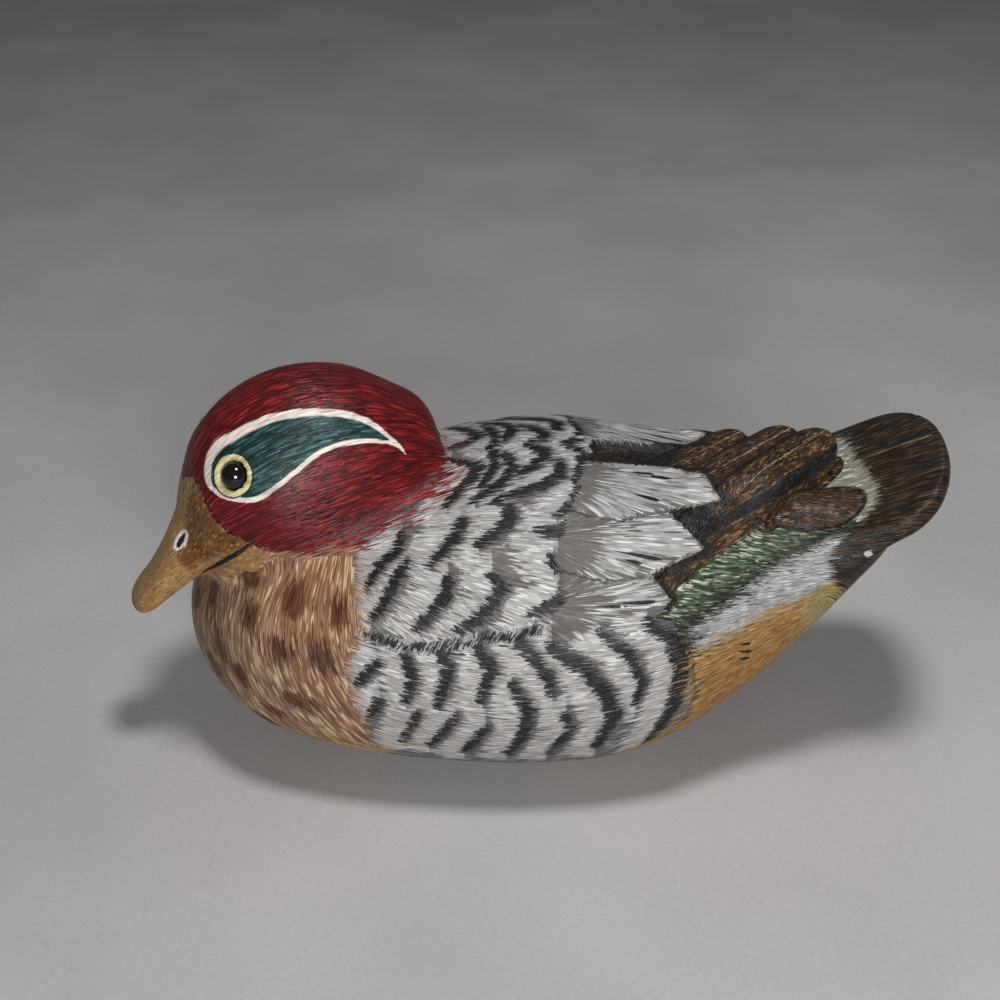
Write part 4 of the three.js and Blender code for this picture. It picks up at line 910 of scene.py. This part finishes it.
class Nodes:
    """Nodes of a material or of a group that materials share."""

    def __init__(self, tree):
        self.tree = tree

    def put(self, kind, *values, out=0, **settings):
        """Adds one node. An upper-case kind is a sum, and the values fill its open sockets in order."""
        node = self.tree.nodes.new("ShaderNodeMath" if kind.isupper() else "ShaderNode" + kind)
        if kind.isupper():
            node.operation = kind
        for name, value in settings.items():
            setattr(node, name, value)
        for socket, value in zip([s for s in node.inputs if s.enabled], values):
            if isinstance(value, bpy.types.NodeSocket):
                self.tree.links.new(value, socket)
            elif value is not None:
                socket.default_value = value
        return [s for s in node.outputs if s.enabled][out]

    def step(self, value, low, high):
        """Rises smoothly from 0 to 1 between low and high."""
        return self.put("MapRange", value, low, high, 0.0, 1.0, interpolation_type="SMOOTHSTEP")

    def mix(self, share, a, b, kind="RGBA"):
        """From a to b by a share from 0 to 1."""
        return self.put("Mix", share, a, b, data_type=kind)


def shared(name, inputs, outputs, build):
    """A group of nodes made once: its inputs and outputs by name and kind, and what lies between them."""
    tree = bpy.data.node_groups.new(name, "ShaderNodeTree")
    for sockets, way in ((inputs, "INPUT"), (outputs, "OUTPUT")):
        for label, kind in sockets:
            tree.interface.new_socket(label, in_out=way, socket_type="NodeSocket" + kind)
    end = tree.nodes.new("NodeGroupOutput")
    given = tree.nodes.new("NodeGroupInput").outputs[:len(inputs)]
    for value, socket in zip(build(Nodes(tree), *given), end.inputs):
        tree.links.new(value, socket)
    return tree


print("mid grey in a shader is", round(linear("777777")[0], 3))

# %% [markdown]
# ### One layer of paint
# Every area is one such layer over the paint so far. Its ground varies a little in tone, and each of the
# two passes of strokes picks a dark, middle or light colour by a number of its own. How many strokes show
# is its cover. The edge is soft over a short way, and strokes push it to and fro by its fringe. All
# layers share one group.

# %% One layer of paint
def layer_of_paint(g, colour, rough, shade, body_1, lot_1, chance_1, body_2, lot_2, chance_2, fray, *own):
    """Lays one area over the paint so far, past an edge that the strokes fray."""
    ground, ground_light, dark, between, light, cover, own_rough, edge, fringe, crisp = own
    paint = g.mix(shade, ground, ground_light)
    for body, lot, chance in ((body_1, lot_1, chance_1), (body_2, lot_2, chance_2)):
        picked = g.mix(g.put("MULTIPLY", lot, 2.0), dark, between)
        picked = g.mix(g.put("MULTIPLY_ADD", lot, 2.0, -1.0), picked, light)
        shown = g.step(g.put("SUBTRACT", cover, chance), -0.04, 0.04)
        paint = g.mix(g.put("MULTIPLY", body, shown), paint, picked)
    share = g.step(g.put("DIVIDE", g.put("MULTIPLY_ADD", fray, fringe, edge), crisp), -1.0, 1.0)
    colour = g.mix(share, colour, paint)
    own_rough = g.put("MULTIPLY_ADD", shade, -0.1, own_rough)
    return colour, g.mix(share, rough, own_rough, "FLOAT")


COAT = [("Colour", "Color"), ("Roughness", "Float")]
PATTERN = ["Shade", "Body 1", "Lot 1", "Chance 1", "Body 2", "Lot 2", "Chance 2", "Fray"]
COLOURS = ["Ground", "Ground light", "Dark", "Middle", "Light"]
OWN = ["Cover", "Own roughness", "Edge", "Fringe", "Crisp"]
LAYER_INPUTS = COAT + [
    (name, kind)
    for names, kind in ((PATTERN, "Float"), (COLOURS, "Color"), (OWN, "Float"))
    for name in names]
LAYER = shared("layer of paint", LAYER_INPUTS, COAT, layer_of_paint)
print("one layer of paint takes", len(LAYER_INPUTS), "inputs and", len(LAYER.nodes), "nodes")

# %% [markdown]
# ### A finish and its brushwork
# A finish is a material built up area by area. Its strokes are lens-shaped cells, stretched along the run
# of the brush and laid in two passes, and finer streaks inside them leave some strokes half dry.

# %% Finishes
STREAKS = (1.8, 0.45, 1)   # how much finer the streaks are, across the run and along it
STROKE_PASSES = ((1.0, (3.3, 1.7, 0.2)), (1.45, (9.1, 5.3, 0.6)))   # size of each pass, and its shift
NOISE_DETAIL = 3.0, 0.6
CELL_SETTINGS = 1.0, 0.0, 0.5, 2.0, 1.0   # scale, detail, roughness, lacunarity, randomness


class Finish(Nodes):
    """A material put together from areas of paint."""

    def __init__(self, name):
        self.material = bpy.data.materials.new(name)
        self.material.use_nodes = True
        super().__init__(self.material.node_tree)
        self.shader = self.tree.nodes["Principled BSDF"]

    def between(self, share, low, high):
        """A colour between two hex colours, picked by a share from 0 to 1."""
        return self.mix(share, linear(low), linear(high))

    def brushwork(self):
        """Streaks and passes of strokes along the brush's run, for every area to pick its colours by."""
        run = self.put("Attribute", attribute_name="brush", out=1)
        streak = self.put("TexNoise", self.put("Mapping", run, None, None, STREAKS), 1.0, *NOISE_DETAIL)
        shade = self.step(streak, 0.3, 0.7)
        fray = self.put("MULTIPLY_ADD", shade, 0.6, -0.3)
        height = self.put("MULTIPLY", streak, 0.4)
        strokes = []
        for size, shift in STROKE_PASSES:
            spot = self.put("Mapping", run, shift, None, (size, size, 1))
            cell = self.put("TexVoronoi", spot, *CELL_SETTINGS)
            lots = self.put("SeparateColor", cell.node.outputs["Color"]).node.outputs
            body = self.step(cell, 0.66, 0.36)
            dry = self.put("MULTIPLY", body, self.step(self.put("ADD", streak, lots[2]), 0.45, 0.75))
            strokes += [dry, lots[0], lots[1]]
            fray = self.put("MULTIPLY_ADD", body, self.put("MULTIPLY_ADD", lots[0], 1.2, -0.65), fray)
            height = self.put("ADD", body, height)
        self.pattern = [shade, *strokes, fray]
        self.height = height
        self.coat = linear("777777"), 0.5

    def paint(self, edge, ground, strokes, fringe=0.6, cover=0.65, rough=0.5, crisp=0.12):
        """One more area over the coat: where it lies, its ground colours, its strokes from dark to light."""
        if edge.endswith("_line"):
            beside = self.put("SeparateXYZ", self.put("Attribute", attribute_name=edge, out=1))
            where = self.put("SUBTRACT", beside.node.outputs[1], self.put("ABSOLUTE", beside))
        else:
            where = self.put("Attribute", attribute_name="mark_" + edge, out=2) if edge else 9.0
        colours = [linear(code) for code in (ground + " " + strokes).split()]
        own = cover, rough, where, fringe, crisp
        self.coat = self.put("Group", *self.coat, *self.pattern, *colours, *own, node_tree=LAYER).node.outputs

    def show(self, colour, rough):
        """Joins a colour and a roughness to the material."""
        self.tree.links.new(colour, self.shader.inputs["Base Color"])
        self.tree.links.new(rough, self.shader.inputs["Roughness"])

    def close(self, raised, sheen=0.22):
        """Ends the finish: the strokes stand up by `raised` millimetres, under a dull varnish."""
        bump = self.put("Bump", 1.0, raised / MM_IN_METRE, None, self.height)
        self.show(*self.coat)
        self.tree.links.new(bump, self.shader.inputs["Normal"])
        self.shader.inputs["Specular IOR Level"].default_value = sheen
        return self.material

    def tell(self):
        """Prints how many layers of paint the finish has by now."""
        print(self.material.name, "has", sum(node.type == "GROUP" for node in self.tree.nodes), "layers")


print("strokes are laid in", len(STROKE_PASSES), "passes")

# %% [markdown]
# ### Back, shoulders and flanks
# Grey feathers with white strokes towards their ends, each end crossed by a fringed black bar.

# %% Grey feathers
wood = Finish("painted_wood")
wood.brushwork()
BLACK = "100f0f 201e1d", "0a0a0a 1c1a19 343130"
wood.paint("", "4f4c4a 64615e", "42403e 73706e b9b6b3", 0, 0.5)
wood.paint("flank", "484645 5d5a59", "3c3a39 6b6a69 afafae", 1.0, 0.5)
wood.paint("tip", "7f7c7a 9b9997", "696664 a6a4a2 c9c7c5", 3.2)
wood.paint("gap", "4a4745 5c5957", "3d3937 5c5957 8f8b88", 2.2, 0.2)
wood.paint("bar", *BLACK, 1.4, crisp=0.08)
wood.paint("seam", *BLACK, 2.6, crisp=0.08)
wood.tell()

# %% [markdown]
# ### Stern
# A speckled green band under the wings, a white fringed band, an ochre underside that pales to
# yellow, and black painted shadow on the body under the wing tips that stand clear.

# %% Stern
wood.paint("green", "1d2319 3a4532", "0e110c 5b6a52 c3cbb8", 0.5)
wood.paint("white", "6f7271 8f9190", "3a3d3c 9c9e9d c4c5c2", 10.0)
wood.paint("fleck", *BLACK, 9.0, crisp=0.1)
wood.paint("ochre", "734f27 9a753f", "2a1a0b 8a683a b8945d", 6.0)
wood.paint("straw", "7d7049 95865a", "4b3a1c 9a8a60 b8a97e", 6.0, 0.5, crisp=1.5)
wood.paint("rump", "66625a 8a877e", "55524a 97948b cfcdc5", 1.8, 0.5)
# Painted shadow: black on the body under the blades that stand clear.
wood.paint("blade_shadow", *BLACK, 0.3)
wood.tell()

# %% [markdown]
# ### Scapular feathers and wings
# White strokes fan out of grey roots, and past their ragged ends the dark flight feathers begin. Each
# flight feather is brown with a copper spatter, a pale shaft and black edges.

# %% Scapulars and wings
wood.paint("root", "524f4c 63605d", "474442 63605d 807d7a", 1.5, 0.2)
wood.paint("lobe", "7d7b79 949290", "62605e 9c9a98 c2c0be", 6.0)
wood.paint("wing", "191411 332a24", "0d0a09 3d3128 7d5a3a", 0.3, 0.5, 0.42)
wood.paint("copper", "211914 3a2b20", "120e0b 483524 8a6745", 1.8, 0.5, 0.42)
wood.paint("blade_edge", *BLACK, 0.5)
wood.paint("lobe_shade", *BLACK, 1.1, crisp=0.08)
wood.paint("midline", *BLACK, 1.2)
wood.tell()

# %% [markdown]
# ### Breast, head and bill
# Buff breast with soft brown blotches, deep red head combed with darker streaks, a green patch edged in
# white behind the eye, and an ochre bill.

# %% Breast, head and bill
wood.paint("breast", "5c402f 84654c", "4a3021 8f6f57 c0a886", 2.8, crisp=0.2)
wood.paint("keel", "7d6440 a08a62", "5b432c a08a62 bfab86", 12.0, crisp=2.0)
wood.paint("blotch", "392114 54351f", "25150c 4d301d 6b4a34", 2.0, crisp=0.3)
wood.paint("head", "350b09 5b1517", "1a0504 571012 8d2627", 2.2, 0.65, 0.42)
wood.paint("patch", "a9a095 cfc5bb", "9a9187 cfc5bb d8d0c6", 0.12, crisp=0.1)
wood.paint("teal", "0a1a1c 1b3838", "051011 1f3d3c 47686a", 0.12, 0.65, 0.42, 0.1)
wood.paint("ring_edge", *BLACK, 0.2)
wood.paint("ring", "9d9468 c2b98c", "8c8358 c2b98c d4cda5", 0.1, 0.65, 0.42)
wood.paint("bill", "735636 94744a", "5e4528 8f6d44 a98a62", 0.4, 0.5, 0.42)
wood.paint("bill_brown", "4f3119 6b4825", "38220f 6b4825 8f6c3c", 1.4, 0.65, 0.42, 0.3)
wood.paint("nostril", "a9a095 cfc5bb", "8a8177 cfc5bb e0d9d0", 0.1)
wood.tell()

# %% [markdown]
# ### Tail, underside, wear and painted shade
# A dark tail with a copper gleam, one small chip down to the white primer, a bare wooden underside, and
# dark paint in the grooves as painted shade.

# %% Tail, underside, wear and painted shade
wood.paint("tail", "15110e 2a211b", "0b0907 34291f 544131", 2.4, 0.5, 0.42)
wood.paint("dark_line", *BLACK, 0.1, crisp=0.06)
wood.paint("pale_line", "4f473c 6e6557", "4a3f34 7d7364 948a79", 0.12, crisp=0.06)
wood.paint("chip", "858782 b0b1ac", "6b6d66 a6a7a2 cfcfca", 0.4)
wood.paint("under", "a98c63 c2a77c", "8b6f49 c2a77c d0b88f", 0.3, 0.5, 0.7)
# Painted shade: dark paint in the hollows, as if they lay in shadow.
wood.paint("groove", "15110e 231d18", "0e0b09 231d18 2f2822", 0.5, crisp=0.6)
STROKE_HEIGHT = 0.05
mesh.materials.append(wood.close(STROKE_HEIGHT))
wood.tell()

# %% [markdown]
# ## Bead eyes
# Turned black glass beads are pressed into drilled sockets.

# %% Beads
def bead(name, centre, outward):
    """A ball as rings round the line of sight, closed by one point at each end."""
    rings, around_count = ((24, 48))
    turn = Vector((0, 0, 1)).rotation_difference(Vector(outward)).to_matrix()
    spots, cells = [Vector((0, 0, BEAD_RADIUS))], []
    for ring_number in range(1, rings):
        tilt = np.pi * ring_number / rings
        for k in range(around_count):
            angle = 2 * np.pi * k / around_count
            way = Vector((np.sin(tilt) * np.cos(angle), np.sin(tilt) * np.sin(angle), np.cos(tilt)))
            spots.append(BEAD_RADIUS * way)
    spots.append(Vector((0, 0, -BEAD_RADIUS)))
    last = len(spots) - 1
    for k in range(around_count):
        n = (k + 1) % around_count
        cells.append((0, 1 + k, 1 + n))
        for ring_number in range(rings - 2):
            a, b = 1 + ring_number * around_count, 1 + (ring_number + 1) * around_count
            cells.append((a + k, b + k, b + n, a + n))
        cells.append((last, last - around_count + n, last - around_count + k))
    shape = bpy.data.meshes.new(name + "_bead")
    shape.from_pydata([tuple((turn @ s + Vector(centre)) / MM_IN_METRE) for s in spots], [], cells)
    shape.shade_smooth()
    item = bpy.data.objects.new(name + "_bead", shape)
    bpy.context.scene.collection.objects.link(item)
    return item


glass = Finish("eye_bead")
speck = glass.put("TexNoise", glass.put("TexCoord", out=3), 900.0, 3.0, 0.6)
glass.show(glass.between(speck, "050505", "14110f"), glass.put("MULTIPLY_ADD", speck, 0.1, 0.05))
eyes = []
for name, (centre, outward) in beads.items():
    eyes.append(bead(name, centre - middle, outward))
    eyes[-1].data.materials.append(glass.material)
    print(name, "at", (centre - middle).round(2), "mm")


# %% [markdown]
# ## Finishes on the solid's own parts
# The plain solid from model.glb lies under the painted model. Its body wears plain wood and its eyes the
# glass of the beads.

# %% Finishes of the solid
GRAIN_SCALE = (60.0, 400.0, 400.0)
plain = Finish("plain_wood")
stretched = plain.put("VectorMath", plain.put("TexCoord", out=3), GRAIN_SCALE, operation="MULTIPLY")
grain = plain.put("TexNoise", stretched, 1.0, 4.0, 0.6)
plain.show(plain.between(grain, "8f8880", "b9b1a8"), plain.put("MULTIPLY_ADD", grain, 0.2, 0.4))
for name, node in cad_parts.items():
    node.data.materials.clear()
    node.data.materials.append(glass.material if name.startswith("eye") else plain.material)
    print(name, "wears", node.data.materials[0].name)


# %% [markdown]
# ## Studio
# The card is a plain pale sheet with faint fibres. A soft light hangs almost overhead, just in front of
# the duck, so the shadow falls short and a little behind it. A wider one stands low in front and opens
# the shadows.

# %% Floor
FLOOR_HALF = 3
FLOOR_CORNERS = [(FLOOR_HALF * i, FLOOR_HALF * j, 0) for i, j in ((-1, -1), (1, -1), (1, 1), (-1, 1))]
floor_mesh = bpy.data.meshes.new("floor")
floor_mesh.from_pydata(FLOOR_CORNERS, [], [(0, 1, 2, 3)])
floor = bpy.data.objects.new("floor", floor_mesh)
bpy.context.scene.collection.objects.link(floor)
card = Finish("card")
spot = card.put("TexCoord", out=3)
cloud = card.put("TexNoise", spot, 14.0, 3.0, 0.5)
fibre = card.put("TexNoise", spot, 900.0, 2.0, 0.6)
shade = card.put("MULTIPLY_ADD", fibre, 0.35, card.put("MULTIPLY", cloud, 0.65))
card_colour = card.between(card.step(shade, 0.35, 0.65), "9c9999", "a8a5a5")
card.show(card_colour, card.put("MULTIPLY_ADD", fibre, 0.1, 0.75))
floor_mesh.materials.append(card.material)
print("card", 2 * FLOOR_HALF, "m wide")

# %% [markdown]
# ### Lights and camera
# Both lights are round area lights, small enough to keep the shadow's edge readable. The camera looks at
# the duck's left side from a little above it, as in the photograph.

# %% Lights and camera
def aimed(thing, place, target):
    """Puts a light or the camera at a place and turns it to look at a target, both in millimetres."""
    item = bpy.data.objects.new(thing.name, thing)
    item.location = Vector(place) / MM_IN_METRE
    item.rotation_euler = (Vector(target) - Vector(place)).to_track_quat("-Z", "Y").to_euler()
    bpy.context.scene.collection.objects.link(item)
    return item


LIT_AT = (0, 0, 30)
# Each light: its name, power in watts, width in metres and place in millimetres.
LIGHTS = [("overhead", 2.0, 0.11, (58, -60, 560)), ("front", 3.3, 0.2, (60, -560, 220))]
CAMERA_PLACE, CAMERA_TARGET, LENS, SENSOR = (-7.2, -296.2, 219), (-7.2, 0, 48), 61.2, 36
ROOM_LIGHT = 0.12
bpy.context.scene.view_settings.view_transform = "Standard"
for name, watts, size, place in LIGHTS:
    lamp = bpy.data.lights.new(name, "AREA")
    lamp.shape = "DISK"
    lamp.size = size
    lamp.energy = watts
    aimed(lamp, place, LIT_AT)
world = bpy.data.worlds.new("room")
bpy.context.scene.world = world
world.use_nodes = True
backdrop = world.node_tree.nodes["Background"].inputs
backdrop["Color"].default_value = linear("d8dade")
backdrop["Strength"].default_value = ROOM_LIGHT
camera = bpy.data.cameras.new("camera")
camera.lens = LENS
camera.sensor_width = SENSOR
bpy.context.scene.camera = aimed(camera, CAMERA_PLACE, CAMERA_TARGET)
print(len(LIGHTS), "lights, and a", LENS, "mm lens")

# %% [markdown]
# ## Standing in for the solid
# The painted mesh and the beads ride on the one body and stand for the solid's three parts.

# %% Standing in for the solid
STANDS_FOR = [
    (duck, "carved_duck", "painted_wood"),
    (eyes[0], "eye_left", "eye_bead"),
    (eyes[1], "eye_right", "eye_bead")]
for item, name, finish in STANDS_FOR:
    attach(item, "root")
    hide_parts(name)
